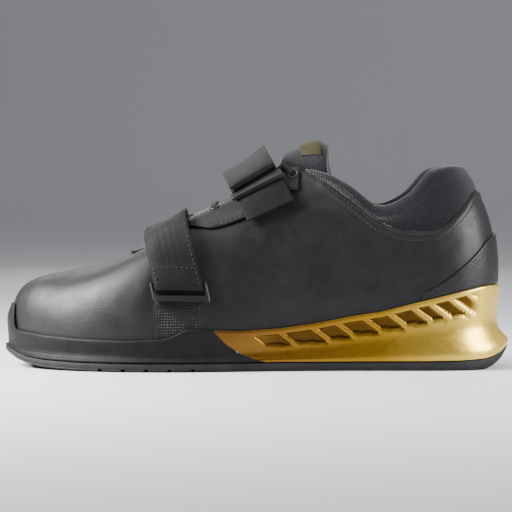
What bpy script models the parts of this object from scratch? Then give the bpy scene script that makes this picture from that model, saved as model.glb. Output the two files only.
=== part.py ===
"""Weightlifting shoe for the left foot, empty and standing on its sole.

Frame: metres, +X to the toe, +Y to the outer side of the foot, +Z up.
The origin is on the floor under the middle of the heel.

The form of the last is a ring of sections. Each section is a curve that climbs from the
feather line, where the upper meets the sole, to the top edge at the throat or the collar.
Upper, cuff, counter, eyestay, tongue, straps, insole and sole walls are all worked out from
this one form, each with its own distance to it.
"""
import math
from collections import namedtuple

import bmesh
import bpy
import numpy as np
from mathutils import Vector
from mathutils.bvhtree import BVHTree

# Driving sizes of the form, in metres
LENGTH = 0.300           # heel-most point of the sole to the tip of the toe
HEEL_BEHIND = 0.040      # heel-most point of the sole behind the origin
BALL_WIDTH = 0.098       # upper across the ball of the foot
HEEL_WIDTH = 0.072       # upper across the heel
THROAT_HEIGHT = 0.1175   # floor to the top corners of the throat
COLLAR_HEIGHT = 0.1204   # floor to the top of the heel tab
HEEL_LIFT = 0.0335       # floor to the footbed under the heel
FORE_LIFT = 0.0115       # floor to the footbed under the ball
WEDGE_WALL_TOP = 0.0490  # floor to the top of the wedge's wall at the heel
RAND_TOP = 0.0180        # floor to the top of the rand at the ball
BUMPER_TOP = 0.0368      # floor to the top of the toe bumper

# Thicknesses and clearances
GAP = 0.0003             # between pieces that touch
UPPER_WALL = 0.0020
LIP_WALL = 0.0024        # sole wall that rises round the upper
BUMPER_TAPER = 0.6       # share of that wall lost at the top of the toe bumper
TREAD = 0.0050           # outsole
TOE_FLARE = 0.0018       # sole beyond its lip, at the toe
SIDE_FLARE = 0.0016
HEEL_FLARE = 0.0060
INSOLE = 0.0040
COUNTER_WALL = 0.0011
EYESTAY_WALL = 0.0011
EYESTAY_TOP = 0.995      # share of the form's curve at which the eyestay ends by the throat
CUFF_PAD = 0.0085
CUFF_FRONT_PAD = 0.0030  # the cuff thins towards the throat
TONGUE_PAD = 0.0060
LACE_WIDTH = 0.0044
LACE_THICK = 0.0014
WAIST_SHARE = 0.75       # where the sole's flare ends, as a share of the footbed's height
WAIST_MIN = 0.0015       # least height of that flare over the tread
LOOP_OVERHANG = 1.12     # width of a strap's loop, as a share of the strap's
FRONT_STRAP_WIDTH = 0.0280
STRAP_LAYER = 0.0022
FRONT_STRAP_THICK = 0.0040   # two layers
INSTEP_STRAP_WIDTH = 0.0300
INSTEP_STRAP_THICK = 0.0080  # two padded layers
LOOP_BAR = 0.0026
ANCHOR_WALL = 0.0020

# Sections of the form, from the tip of the toe along each side to the back of the heel.
# along: place on the length. outer, inner: feather line across, to the two sides.
# top_*: the same for the top edge, with its height. spread, roll: how far the curve swells
# outward at its foot and at its top, as a share of its reach. rise, drop: how far it runs
# upright from its foot and down from its top, as a share of its height. leather: height at
# which the leather ends and the cuff begins, as a share of the section's height.
Section = namedtuple(
    "Section",
    "along outer inner top_along top_outer top_inner top spread rise roll drop leather",
)

# Toe and throat: widths as shares of half the ball width, heights of the throat's height
FORE_SECTIONS = [
    Section(0.985, -0.25, -0.25, 0.713, -0.10, -0.10, 0.618, 0.085, 0.97, 0.57, 0.50, 1),
    Section(0.966, 0.11, -0.58, 0.708, 0.03, -0.23, 0.621, 0.07, 0.91, 0.55, 0.45, 1),
    Section(0.927, 0.41, -0.79, 0.693, 0.13, -0.32, 0.630, 0.05, 0.80, 0.52, 0.38, 1),
    Section(0.875, 0.68, -0.92, 0.667, 0.19, -0.38, 0.662, 0.05, 0.70, 0.50, 0.28, 1),
    Section(0.810, 0.88, -1.00, 0.633, 0.22, -0.39, 0.722, 0.06, 0.62, 0.50, 0.20, 1),
    Section(0.740, 0.99, -1.01, 0.600, 0.24, -0.39, 0.782, 0.07, 0.56, 0.50, 0.15, 1),
    Section(0.667, 1.00, -0.96, 0.560, 0.25, -0.39, 0.823, 0.08, 0.52, 0.50, 0.13, 1),
    Section(0.593, 0.95, -0.87, 0.520, 0.26, -0.39, 0.861, 0.10, 0.50, 0.50, 0.12, 1),
    Section(0.520, 0.87, -0.76, 0.477, 0.27, -0.39, 0.929, 0.12, 0.50, 0.50, 0.12, 1),
    Section(0.447, 0.79, -0.68, 0.433, 0.29, -0.40, 1.000, 0.15, 0.50, 0.45, 0.15, 1),
]

# Collar and heel: widths as shares of half the heel width, heights of the collar's height
REAR_SECTIONS = [
    Section(0.377, 1.04, -0.90, 0.370, 0.63, -0.71, 0.963, 0.25, 0.48, 0.40, 0.30, 0.949),
    Section(0.317, 1.00, -0.89, 0.315, 0.79, -0.79, 0.893, 0.45, 0.45, 0.45, 0.35, 0.907),
    Section(0.257, 1.00, -0.93, 0.260, 0.86, -0.85, 0.802, 0.70, 0.42, 0.50, 0.38, 0.866),
    Section(0.200, 0.99, -0.98, 0.204, 0.86, -0.86, 0.851, 0.60, 0.42, 0.50, 0.38, 0.718),
    Section(0.137, 0.95, -0.95, 0.160, 0.76, -0.76, 0.962, 0.35, 0.42, 0.45, 0.32, 0.608),
    Section(0.086, 0.80, -0.80, 0.123, 0.56, -0.56, 0.998, 0.31, 0.48, 0.44, 0.24, 0.685),
    Section(0.048, 0.50, -0.50, 0.098, 0.31, -0.31, 1.000, 0.38, 0.55, 0.43, 0.20, 0.795),
    Section(0.028, 0.00, 0.00, 0.088, 0.00, 0.00, 0.998, 0.45, 0.58, 0.42, 0.17, 0.821),
]
THROAT_ROWS = len(FORE_SECTIONS) - 1
SIDE_ROWS = len(FORE_SECTIONS) + len(REAR_SECTIONS) - 1
RING_ROWS = 2 * SIDE_ROWS
STEPS_PER_ROW = 3
CUFF_START = THROAT_ROWS + 0.5

# Heel counter: height of its top edge as a share of the collar's height, by ring row
COUNTER_EDGE = [(13.4, 0.37), (14.0, 0.42), (15.0, 0.52), (16.0, 0.62), (17.0, 0.66)]

# Eyestay: share of the form's curve at which its lower edge lies, by ring row
EYESTAY_EDGE = [(0.0, 0.93), (3.0, 0.88), (5.0, 0.79), (6.4, 0.68), (8.0, 0.68), (9.33, 0.80)]

# Cover over the throat: the share of it on each side that lies on the form beside the
# throat, and how far down the form's curve that goes
SIDE_SHARE = 0.3
SIDE_REACH = 0.17

# Tongue: ring row, half its width as a share of the cover, how far it lies under the form
# as a share of the upper's wall, its own thickness and how far its middle stands up, both
# as shares of the pad
TongueRow = namedtuple("TongueRow", "row width depth pad lift")
TONGUE_ROWS = [
    TongueRow(1.6, 0.90, 1.40, 0.5, 0.0),
    TongueRow(2.6, 0.94, 1.40, 0.6, 0.0),
    TongueRow(4.0, 1.00, 1.35, 0.8, 0.0),
    TongueRow(6.0, 1.00, 1.35, 1.0, 0.0),
    TongueRow(8.0, 1.00, 1.35, 1.0, 0.0),
    TongueRow(8.8, 0.95, 1.40, 1.0, 0.7),
    TongueRow(9.4, 0.85, 2.10, 1.1, 1.05),
    TongueRow(9.9, 0.80, 2.20, 1.2, 1.2),
    TongueRow(10.1, 0.76, 2.40, 0.9, 1.2),
    TongueRow(10.2, 0.74, 3.20, 0.4, 1.1),
]
TONGUE_TIP_ROWS = 3      # rows of the table that form the rounded end
TONGUE_STEP = 0.4        # ring rows between the cross-sections ahead of it
TONGUE_SIDE_THIN = 0.6   # share of the pad lost towards the sides

# Laces: the bars lie at these ring rows and are joined along alternate edges
LACE_ROWS = [3.6, 4.9, 6.1, 7.2, 8.2]
LACE_LIFT = 0.0008       # under the laces, over the eyestay
LACE_EDGE = 0.69         # where the edges lie across, as a share of the cover
LACE_CORNER_ACROSS = 0.22
LACE_CORNER_ROWS = 0.45
LACE_BOW = 1.4           # rows by which a bar's ends lie behind its middle, to run straight

# Side view of the sole along the length. bed: share of the way from the ball's footbed to
# the heel's. wall: top of the rand and of the wedge's wall, the same way. ground: underside,
# seam: top of the tread, both as shares of the tread's thickness.
SoleRow = namedtuple("SoleRow", "along bed wall ground seam")
SOLE_ROWS = [
    SoleRow(-0.010, 1.00, 0.99, 2.60, 2.95),
    SoleRow(0.000, 1.00, 0.99, 2.20, 2.60),
    SoleRow(0.016, 1.00, 0.99, 1.05, 1.90),
    SoleRow(0.033, 1.00, 1.00, 0.35, 1.50),
    SoleRow(0.048, 0.99, 1.00, 0.00, 1.28),
    SoleRow(0.065, 0.97, 0.98, 0.00, 1.20),
    SoleRow(0.096, 0.92, 0.91, 0.00, 1.10),
    SoleRow(0.175, 0.77, 0.72, 0.00, 1.04),
    SoleRow(0.254, 0.59, 0.53, 0.00, 1.02),
    SoleRow(0.313, 0.43, 0.44, 0.00, 1.00),
    SoleRow(0.388, 0.27, 0.30, 0.00, 1.00),
    SoleRow(0.451, 0.15, 0.22, 0.00, 1.00),
    SoleRow(0.530, 0.05, 0.17, 0.00, 1.00),
    SoleRow(0.585, 0.02, 0.19, 0.00, 1.00),
    SoleRow(0.611, 0.01, 0.23, 0.00, 1.00),
    SoleRow(0.634, 0.00, 0.20, 0.00, 1.00),
    SoleRow(0.658, 0.00, 0.09, 0.00, 1.00),
    SoleRow(0.677, 0.00, 0.03, 0.00, 1.00),
    SoleRow(0.743, 0.00, 0.00, 0.00, 1.00),
    SoleRow(0.842, 0.01, 0.02, 0.04, 1.02),
    SoleRow(0.914, 0.05, 0.07, 0.20, 1.14),
    SoleRow(0.952, 0.09, 0.11, 0.55, 1.42),
    SoleRow(0.973, 0.11, 0.14, 0.95, 1.85),
    SoleRow(1.000, 0.13, 0.15, 1.80, 2.40),
]

# Front end of the wedge in side view: place on the length, height as a share of the wall
# between the tread and the wedge's top edge there
SPLIT_ROWS = [(0.440, -0.40), (0.483, 0.03), (0.507, 0.14), (0.530, 0.28), (0.558, 0.60),
              (0.580, 0.95), (0.590, 1.30)]

# Pockets in the wedge's side between its slanted ribs
POCKETS = 8
POCKET_FIRST = 0.075     # share of the length where the rear pocket's lower corner is
POCKET_LAST = 0.385      # the same for the front pocket
POCKET_DEPTH = 0.0016
POCKET_SLANT = 0.0215    # how far a pocket's top lies ahead of its foot
RIB_WIDTH = 0.0022
POCKET_BELOW_WALL = 0.0052
POCKET_ABOVE_SEAM = 0.0062
POCKET_RISE = 0.0170     # rise of the pockets' lower edge from the front to the rear

# Straps: each is a band of rays from a centre inside the shoe. along, height: the centre.
# slope: how the band's width leans forward and down. lean: how its plane leans forward.
StrapPlane = namedtuple("StrapPlane", "along height slope lean width")
FRONT_STRAP = StrapPlane(0.635, 0.034, 0.0, math.radians(14), FRONT_STRAP_WIDTH)
INSTEP_STRAP = StrapPlane(0.434, 0.074, math.radians(30), math.radians(29), INSTEP_STRAP_WIDTH)
# Shares of a strap's run between which it climbs onto the eyestay, and comes down again
FRONT_RISE = (0.10, 0.24)
FRONT_FALL = (0.66, 0.80)
INSTEP_RISE = (0.0, 0.25)
INSTEP_FALL = (0.52, 0.76)
STRAP_CENTRE = -0.004
INSTEP_STRAP_RISE = 0.0040
STRAP_POINTS = 26
# Ends of the bands in degrees round the shoe, 0 at the outer side and 180 at the inner
FRONT_STRAP_ENDS = (15, 186)
FRONT_LOOP_ENDS = (7.5, 13.5)
INSTEP_STRAP_ENDS = (60, 198)
INSTEP_LOOP_ENDS = (53.5, 59)
INSTEP_ANCHOR_ENDS = (32, 52.8)

# Flex grooves under the forefoot
GROOVES = 5
GROOVE_WIDTH = 0.0022
GROOVE_DEPTH = 0.0013
GROOVE_FIRST = 0.62
GROOVE_STEP = 0.045

UP = Vector((0, 0, 1))


def start_clean():
    """Remove the objects of the default scene."""
    for item in list(bpy.data.objects):
        bpy.data.objects.remove(item, do_unlink=True)


def place(share):
    """X of a place given as a share of the length from the heel-most point."""
    return share * LENGTH - HEEL_BEHIND


def side_points(section, width, height):
    """Feather and top edge points of one section, on the outer and on the inner side."""
    sides = []
    for across, top_across in ((section.outer, section.top_outer),
                               (section.inner, section.top_inner)):
        foot = (place(section.along), across * width / 2)
        top = (place(section.top_along), top_across * width / 2, section.top * height)
        sides.append(foot + top + tuple(section[7:]))
    return sides


def ring_table():
    """Sections round the whole shoe: toe, outer side, heel, inner side."""
    pairs = [side_points(row, BALL_WIDTH, THROAT_HEIGHT) for row in FORE_SECTIONS]
    pairs += [side_points(row, HEEL_WIDTH, COLLAR_HEIGHT) for row in REAR_SECTIONS]
    outer = [pair[0] for pair in pairs]
    inner = [pair[1] for pair in pairs]
    return np.array(outer + inner[-2:0:-1])


RING = ring_table()


def ring_at(s):
    """Smooth values between the sections, at ring place s in rows."""
    base = math.floor(s)
    f = s - base
    p0, p1, p2, p3 = (RING[(base + k) % RING_ROWS] for k in (-1, 0, 1, 2))
    return 0.5 * (2 * p1 + (p2 - p0) * f + (2 * p0 - 5 * p1 + 4 * p2 - p3) * f * f
                  + (3 * p1 - p0 - 3 * p2 + p3) * f ** 3)


def sole_line(x, column):
    """One of the sole's lines in side view, as a share."""
    shares = [getattr(row, column) for row in SOLE_ROWS]
    return float(np.interp(x, [place(row.along) for row in SOLE_ROWS], shares))


def bed_height(x):
    return FORE_LIFT + (HEEL_LIFT - FORE_LIFT) * sole_line(x, "bed")


def wall_height(x):
    return RAND_TOP + (WEDGE_WALL_TOP - RAND_TOP) * sole_line(x, "wall")


def ground_height(x):
    return TREAD * sole_line(x, "ground")


def seam_height(x):
    return TREAD * sole_line(x, "seam")


def column(s):
    """The four control points of the form's curve at ring place s."""
    foot_x, foot_y, top_x, top_y, top_z, spread, rise, roll, drop, _ = ring_at(s)
    foot = Vector((foot_x, foot_y, bed_height(foot_x) + GAP))
    top = Vector((top_x, top_y, top_z))
    reach = Vector((foot_x - top_x, foot_y - top_y, 0))
    height = top_z - foot.z
    low = foot + reach * spread + UP * rise * height
    high = top + reach * roll - UP * drop * height
    return foot, low, high, top


def curve_point(points, t):
    a, b, c, d = points
    u = 1 - t
    return a * u ** 3 + b * 3 * t * u * u + c * 3 * t * t * u + d * t ** 3


def form_point(s, t, offset=0.0):
    """A point of the form, from the feather line (t 0) to the top edge (t 1)."""
    here = curve_point(column(s), t)
    if offset == 0:
        return here
    if t == 0:
        return here + outward(s) * offset
    return here + form_normal(s, t) * offset


def form_normal(s, t):
    ds = 0.05
    dt = 0.01
    t = min(max(t, dt), 1 - dt)
    along = curve_point(column(s + ds), t) - curve_point(column(s - ds), t)
    upward = curve_point(column(s), t + dt) - curve_point(column(s), t - dt)
    return along.cross(upward).normalized()


def share_at(s, height):
    """Share t at which the form's curve reaches a height."""
    points = column(s)
    low, high = 0.0, 1.0
    for _ in range(30):
        middle = (low + high) / 2
        if curve_point(points, middle).z < height:
            low = middle
        else:
            high = middle
    return low


def leather_share(s):
    """Share t at which the leather ends."""
    points = column(s)
    share = min(ring_at(s)[9], 1)
    if share > 0.995:
        return 1.0
    return share_at(s, points[0].z + share * (points[3].z - points[0].z))


def side_place(s):
    """Rows from the toe, the same for both sides."""
    s = s % RING_ROWS
    return min(s, RING_ROWS - s)


def bumper_share(s):
    """1 round the tip of the toe, where the bumper is, and 0 along the sides."""
    blend = min(max((0.95 - side_place(s)) / 0.45, 0), 1)
    return blend * blend * (3 - 2 * blend)


def wall_top(s):
    """Top of the sole's wall round the upper, with the bumper at the toe."""
    low = wall_height(ring_at(s)[0])
    return low + (BUMPER_TOP - low) * bumper_share(s)


def flare(s):
    """How far the sole's foot stands out beyond its lip."""
    row = side_place(s)
    if row < 3:
        return SIDE_FLARE + (TOE_FLARE - SIDE_FLARE) * (1 - row / 3)
    back = min(max((row - 12) / (SIDE_ROWS - 12), 0), 1)
    return SIDE_FLARE + (HEEL_FLARE - SIDE_FLARE) * back * back * (3 - 2 * back)


def ring_steps(first, last, step=1 / STEPS_PER_ROW):
    count = round((last - first) / step)
    return [first + (last - first) * i / count for i in range(count + 1)]


# Meshes

def finish_object(bm, name, colour, roughness, metallic=0.0):
    """Turn a bmesh into a named object with its own material."""
    bmesh.ops.remove_doubles(bm, verts=bm.verts, dist=0.00001)
    bmesh.ops.dissolve_degenerate(bm, dist=0.00001, edges=bm.edges)
    bmesh.ops.recalc_face_normals(bm, faces=bm.faces)
    if bm.calc_volume(signed=True) < 0:
        bmesh.ops.reverse_faces(bm, faces=bm.faces)
    mesh = bpy.data.meshes.new(name)
    bm.to_mesh(mesh)
    bm.free()
    mesh.shade_smooth()
    mesh.set_sharp_from_angle(angle=math.radians(40))
    item = bpy.data.objects.new(name, mesh)
    bpy.context.collection.objects.link(item)
    material = bpy.data.materials.new(name)
    material.use_nodes = True
    shader = material.node_tree.nodes["Principled BSDF"]
    shader.inputs["Base Color"].default_value = (*colour, 1)
    shader.inputs["Roughness"].default_value = roughness
    shader.inputs["Metallic"].default_value = metallic
    mesh.materials.append(material)
    return item


def grid_faces(bm, rows, closed_rows=False, closed_across=False):
    """Join rows of points to quads and return the rows of vertices."""
    verts = [[bm.verts.new(p) for p in row] for row in rows]
    count = len(verts)
    for i in range(count if closed_rows else count - 1):
        a, b = verts[i], verts[(i + 1) % count]
        width = len(a)
        for j in range(width if closed_across else width - 1):
            k = (j + 1) % width
            bm.faces.new((a[j], a[k], b[k], b[j]))
    return verts


def tube_grid(loops, closed=False):
    """A closed solid whose cross-sections are the given loops of points."""
    bm = bmesh.new()
    verts = grid_faces(bm, loops, closed_rows=closed, closed_across=True)
    if not closed:
        for loop in (verts[0], verts[-1]):
            bm.faces.new(loop)
        ends = [f for f in bm.faces if len(f.verts) > 4]
        bmesh.ops.triangulate(bm, faces=ends)
    return bm


def shell_loop(s, shares, outer, inner):
    """Cross-section of a shell on the form: up its outside and down its inside."""
    outside = [form_point(s, t, outer(t)) for t in shares]
    inside = [form_point(s, t, inner(t)) for t in reversed(shares)]
    return outside + inside


def spaced(first, last, count):
    return [first + (last - first) * i / (count - 1) for i in range(count)]


def ladder_solid(rings):
    """A closed solid from rings round the whole shoe, closed by strips from side to side."""
    bm = bmesh.new()
    verts = grid_faces(bm, rings, closed_across=True)
    count = len(verts[0])
    for ring in (verts[0], verts[-1]):
        for i in range(count // 2):
            corners = [ring[i], ring[i + 1], ring[-i - 1], ring[-i % count]]
            corners = list(dict.fromkeys(corners))
            if len(corners) > 2:
                bm.faces.new(corners)
    return bm


def prism(profile, y_from, y_to):
    """A cutter with a side-view profile of (x, z) points, running across the shoe."""
    bm = bmesh.new()
    near = [bm.verts.new((x, y_from, z)) for x, z in profile]
    far = [bm.verts.new((x, y_to, z)) for x, z in profile]
    bm.faces.new(near)
    bm.faces.new(far[::-1])
    for i in range(len(profile)):
        k = (i + 1) % len(profile)
        bm.faces.new((near[i], far[i], far[k], near[k]))
    bmesh.ops.recalc_face_normals(bm, faces=bm.faces)
    return bm


def cut_with(item, bm, operation="DIFFERENCE"):
    """Cut an object with a bmesh for good."""
    mesh = bpy.data.meshes.new("cutter")
    bm.to_mesh(mesh)
    bm.free()
    cutter = bpy.data.objects.new("cutter", mesh)
    bpy.context.collection.objects.link(cutter)
    modifier = item.modifiers.new("cut", "BOOLEAN")
    modifier.operation = operation
    modifier.object = cutter
    bpy.context.view_layer.update()
    graph = bpy.context.evaluated_depsgraph_get()
    result = bpy.data.meshes.new_from_object(item.evaluated_get(graph))
    item.modifiers.remove(modifier)
    item.data = result
    bpy.data.objects.remove(cutter, do_unlink=True)


# Sole

def outward(s):
    """Level direction out of the shoe at the feather line."""
    level = form_normal(s, 0.02)
    return Vector((level.x, level.y, 0)).normalized()


def foot_point(s, offset, height):
    """A point beside the feather line, at a level distance and a height."""
    base = column(s)[0] + outward(s) * offset
    return Vector((base.x, base.y, height))


def whole_ring():
    return ring_steps(0, RING_ROWS)[:-1]


def midsole_rings():
    """Rings of the midsole block: foot, wall, lip and bed."""
    lip = GAP + LIP_WALL
    rings = [[] for _ in range(10)]
    for s in whole_ring():
        wide = lip + flare(s)
        base = foot_point(s, wide, 0)
        seam = seam_height(base.x) + GAP
        top = wall_top(s)
        bed = column(s)[0].z - GAP
        waist = max(bed * WAIST_SHARE, seam + WAIST_MIN)
        t_top = share_at(s, top)
        t_half = t_top * 0.55
        edge = LIP_WALL * (1 - BUMPER_TAPER * bumper_share(s))
        rings[0].append(foot_point(s, wide, seam))
        rings[1].append(foot_point(s, wide * 0.99, seam + 0.3 * (waist - seam)))
        rings[2].append(foot_point(s, lip, waist))
        rings[3].append(form_point(s, t_half, lip))
        rings[4].append(form_point(s, t_top * 0.97, GAP + edge))
        rings[5].append(form_point(s, t_top, GAP + edge / 2))
        for ring, share in ((6, 0.96), (7, 0.66), (8, 0.33)):
            rings[ring].append(form_point(s, t_top * share, 1.5 * GAP))
        rings[9].append(foot_point(s, 1.5 * GAP, bed))
    return rings


def split_profile(ahead, shift):
    """Side view of all that lies ahead of the wedge's front end, or behind it."""
    line = []
    for share, height in SPLIT_ROWS:
        x = place(share)
        foot = seam_height(x)
        line.append((x + shift, foot + height * (wall_height(x) - foot)))
    far = place(1.2) if ahead else place(-0.2)
    deep = -0.05
    high = 0.10
    return [(line[0][0], deep)] + line + [(line[-1][0], high), (far, high), (far, deep)]


def make_heel_wedge():
    item = finish_object(ladder_solid(midsole_rings()), "heel_wedge", (0.72, 0.50, 0.16), 0.3, 0.6)
    for side in (1, -1):
        for i in range(POCKETS):
            cut_with(item, pocket_cutter(i / (POCKETS - 1), side))
    cut_with(item, prism(split_profile(True, -GAP / 2), -BALL_WIDTH, BALL_WIDTH))
    return item


def pocket_cutter(share, side):
    """One slanted pocket between two ribs, share 0 at the rear and 1 at the front."""
    pitch = (POCKET_LAST - POCKET_FIRST) * LENGTH / (POCKETS - 1)
    rear = place(POCKET_FIRST) + share * (POCKETS - 1) * pitch
    front = rear + pitch - RIB_WIDTH
    slant = POCKET_SLANT * (0.55 + 0.45 * share)
    foot = TREAD + POCKET_ABOVE_SEAM + POCKET_RISE * (1 - share)
    profile = [(rear, foot), (front, foot)]
    for x in (front + slant, rear + slant):
        profile.append((x, max(wall_height(x) - POCKET_BELOW_WALL, foot + 0.001)))
    bm = prism(profile, 0, side * BALL_WIDTH)
    for vert in bm.verts:
        if vert.co.y == 0:
            vert.co.y = side_width(vert.co.x, side) - side * POCKET_DEPTH
    return bm


def side_width(x, side):
    """Across place of the midsole's outer wall at a place on the length."""
    places = whole_ring()
    points = [foot_point(s, GAP + LIP_WALL, 0) for s in places]
    chosen = sorted((p.x, p.y) for p in points if p.y * side > 0)
    return float(np.interp(x, [p[0] for p in chosen], [p[1] for p in chosen]))


def make_forefoot_midsole():
    item = finish_object(ladder_solid(midsole_rings()), "forefoot_midsole", (0.03, 0.03, 0.035), 0.6)
    cut_with(item, prism(split_profile(False, GAP / 2), -BALL_WIDTH, BALL_WIDTH))
    return item


def make_outsole():
    lip = GAP + LIP_WALL
    rings = [[], [], []]
    for s in whole_ring():
        wide = lip + flare(s)
        edge = foot_point(s, wide, 0)
        inset = foot_point(s, wide - TREAD * 0.3, 0)
        rings[0].append(Vector((inset.x, inset.y, ground_height(inset.x))))
        middle = (ground_height(edge.x) + seam_height(edge.x)) / 2
        rings[1].append(Vector((edge.x, edge.y, middle)))
        rings[2].append(Vector((edge.x, edge.y, seam_height(edge.x))))
    item = finish_object(ladder_solid(rings), "outsole", (0.06, 0.06, 0.065), 0.7)
    for i in range(GROOVES):
        x = place(GROOVE_FIRST + GROOVE_STEP * i)
        foot = ground_height(x)
        profile = [(x - GROOVE_WIDTH / 2, -TREAD), (x + GROOVE_WIDTH / 2, -TREAD),
                   (x + GROOVE_WIDTH / 2, foot + GROOVE_DEPTH),
                   (x - GROOVE_WIDTH / 2, foot + GROOVE_DEPTH)]
        cut_with(item, prism(profile, -BALL_WIDTH, BALL_WIDTH))
    return item


def make_insole():
    inside = -(UPPER_WALL + 2 * GAP)
    rings = [[], [], []]
    for s in whole_ring():
        base = foot_point(s, inside, 0)
        bed = bed_height(base.x) + 2 * GAP
        rings[0].append(foot_point(s, inside - GAP, bed))
        rings[1].append(foot_point(s, inside - GAP, bed + INSOLE * 0.6))
        rings[2].append(foot_point(s, inside - INSOLE * 0.5, bed + INSOLE))
    return finish_object(ladder_solid(rings), "insole", (0.05, 0.05, 0.055), 0.9)


# Upper and what is laid on it

def make_upper():
    rows = 8
    loops = []
    for s in whole_ring():
        top = leather_share(s)
        shares = [top * (1 - (1 - i / (rows - 1)) ** 1.3) for i in range(rows)]
        loops.append(shell_loop(s, shares, lambda t: 0.0, lambda t: -UPPER_WALL))
    return finish_object(tube_grid(loops, closed=True), "upper", (0.045, 0.045, 0.05), 0.45)


def rounded_top(t, start, outer, inner, side):
    """Offset of a padded edge whose two faces meet in a round top."""
    if t <= start:
        return outer if side > 0 else inner
    f = min((t - start) / (1 - start), 1)
    half = (outer - inner) / 2
    middle = (outer + inner) / 2
    return middle + side * half * math.sqrt(max(1 - f * f, 0))


def cuff_pad(s):
    """Thickness of the cuff, thin by the throat and full round the ankle."""
    f = min(max((side_place(s) - CUFF_START) / 3, 0), 1)
    return CUFF_FRONT_PAD + (CUFF_PAD - CUFF_FRONT_PAD) * f * f * (3 - 2 * f)


def make_collar_padding():
    loops = []
    for s in ring_steps(CUFF_START, RING_ROWS - CUFF_START):
        pad = cuff_pad(s)
        points = column(s)
        height = (points[3] - points[0]).length
        start = leather_share(s) + 2 * GAP / height
        round_from = max(start, 1 - 0.8 * pad / height)
        shares = [start + (round_from - start) * f for f in (0, 0.5, 1)]
        shares += [round_from + (1 - round_from) * f for f in (0.45, 0.8, 0.95)]
        outside = [form_point(s, t, rounded_top(t, round_from, 0, -pad, 1)) for t in shares]
        inside = [form_point(s, t, rounded_top(t, round_from, 0, -pad, -1)) for t in shares]
        loops.append(outside + [form_point(s, 1, -pad / 2)] + inside[::-1])
    return finish_object(tube_grid(loops), "collar_padding", (0.05, 0.05, 0.055), 0.9)


def make_heel_counter():
    rows = [row for row, _ in COUNTER_EDGE]
    heights = [height * COLLAR_HEIGHT for _, height in COUNTER_EDGE]
    loops = []
    for s in ring_steps(rows[0], RING_ROWS - rows[0], 0.3):
        low = share_at(s, wall_top(s) + 2 * GAP)
        high = share_at(s, float(np.interp(side_place(s), rows, heights)))
        shares = spaced(low, high, 4)
        loops.append(shell_loop(s, shares, lambda t: GAP + COUNTER_WALL, lambda t: GAP))
    return finish_object(tube_grid(loops), "heel_counter", (0.045, 0.045, 0.05), 0.45)


def make_eyestay():
    rows = [row for row, _ in EYESTAY_EDGE]
    edges = [share for _, share in EYESTAY_EDGE]
    loops = []
    for s in ring_steps(-rows[-1], rows[-1]):
        low = float(np.interp(side_place(s), rows, edges))
        shares = spaced(low, EYESTAY_TOP, 4)
        loops.append(shell_loop(s, shares, lambda t: 2 * GAP + EYESTAY_WALL, lambda t: 2 * GAP))
    return finish_object(tube_grid(loops), "eyestay", (0.05, 0.05, 0.055), 0.4)


# Throat, tongue and laces

def throat_point(row, across, offset=0.0):
    """A point of the arch that spans the throat, across 0 at the outer edge, 1 at the inner."""
    _, _, high_a, top_a = column(row)
    _, _, high_b, top_b = column(-row)
    span = (top_a - top_b).length * 0.42
    a = top_a + (top_a - high_a).normalized() * span
    b = top_b + (top_b - high_b).normalized() * span
    here = curve_point((top_a, a, b, top_b), across)
    if offset == 0:
        return here
    return here + throat_normal(row, across) * offset


def throat_normal(row, across):
    step = 0.02
    along = throat_point(row + 0.2, across) - throat_point(row - 0.2, across)
    over = throat_point(row, across + step) - throat_point(row, across - step)
    normal = over.cross(along).normalized()
    return normal if normal.z > 0 else -normal


def closed_form():
    """The whole form with its throat spanned, as a tree that can be probed from inside."""
    bm = bmesh.new()
    sides = [[form_point(s, t) for t in spaced(0, 1, 13)] for s in ring_steps(0, RING_ROWS)]
    grid_faces(bm, sides)
    arch = [[throat_point(row, w) for w in spaced(0, 1, 9)]
            for row in ring_steps(0.05, THROAT_ROWS + 0.9)]
    grid_faces(bm, arch)
    bm.normal_update()
    tree = BVHTree.FromBMesh(bm)
    bm.free()
    return tree


def cover_point(row, across, offset):
    """A point over the throat and the edges beside it, across from -1 (outer) to 1 (inner)."""
    beyond = abs(across) - (1 - SIDE_SHARE)
    if beyond > 0:
        side = row if across < 0 else -row
        return form_point(side, 1 - SIDE_REACH * beyond / SIDE_SHARE, offset)
    return throat_point(row, 0.5 + 0.5 * across / (1 - SIDE_SHARE), offset)


def tongue_value(row, name):
    """One column of the tongue's table at a ring row."""
    values = [getattr(item, name) for item in TONGUE_ROWS]
    return float(np.interp(row, [item.row for item in TONGUE_ROWS], values))


def make_tongue():
    loops = []
    rows = [item.row for item in TONGUE_ROWS]
    tip = rows[-TONGUE_TIP_ROWS:]
    for row in ring_steps(rows[0], rows[-TONGUE_TIP_ROWS - 1], TONGUE_STEP) + tip:
        width = tongue_value(row, "width")
        top = -UPPER_WALL * tongue_value(row, "depth")
        pad = TONGUE_PAD * tongue_value(row, "pad")
        lift = TONGUE_PAD * tongue_value(row, "lift")
        upper_side = []
        under_side = []
        for a in spaced(-width, width, 13):
            height = top + lift * (1 - (a / width) ** 2) ** 2
            upper_side.append(cover_point(row, a, height))
            under_side.append(cover_point(row, a, height - pad * (1 - TONGUE_SIDE_THIN * a * a)))
        loops.append(upper_side + under_side[::-1])
    return finish_object(tube_grid(loops), "tongue", (0.05, 0.05, 0.055), 0.8)


def ribbon(points, normals, width, thick):
    """A flat strip along points, as a closed solid."""
    loops = []
    for i, point in enumerate(points):
        ahead = points[min(i + 1, len(points) - 1)] - points[max(i - 1, 0)]
        side = ahead.cross(normals[i]).normalized() * width / 2
        up = normals[i] * thick
        loops.append([point + side, point - side, point - side + up, point + side + up])
    return tube_grid(loops)


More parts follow.
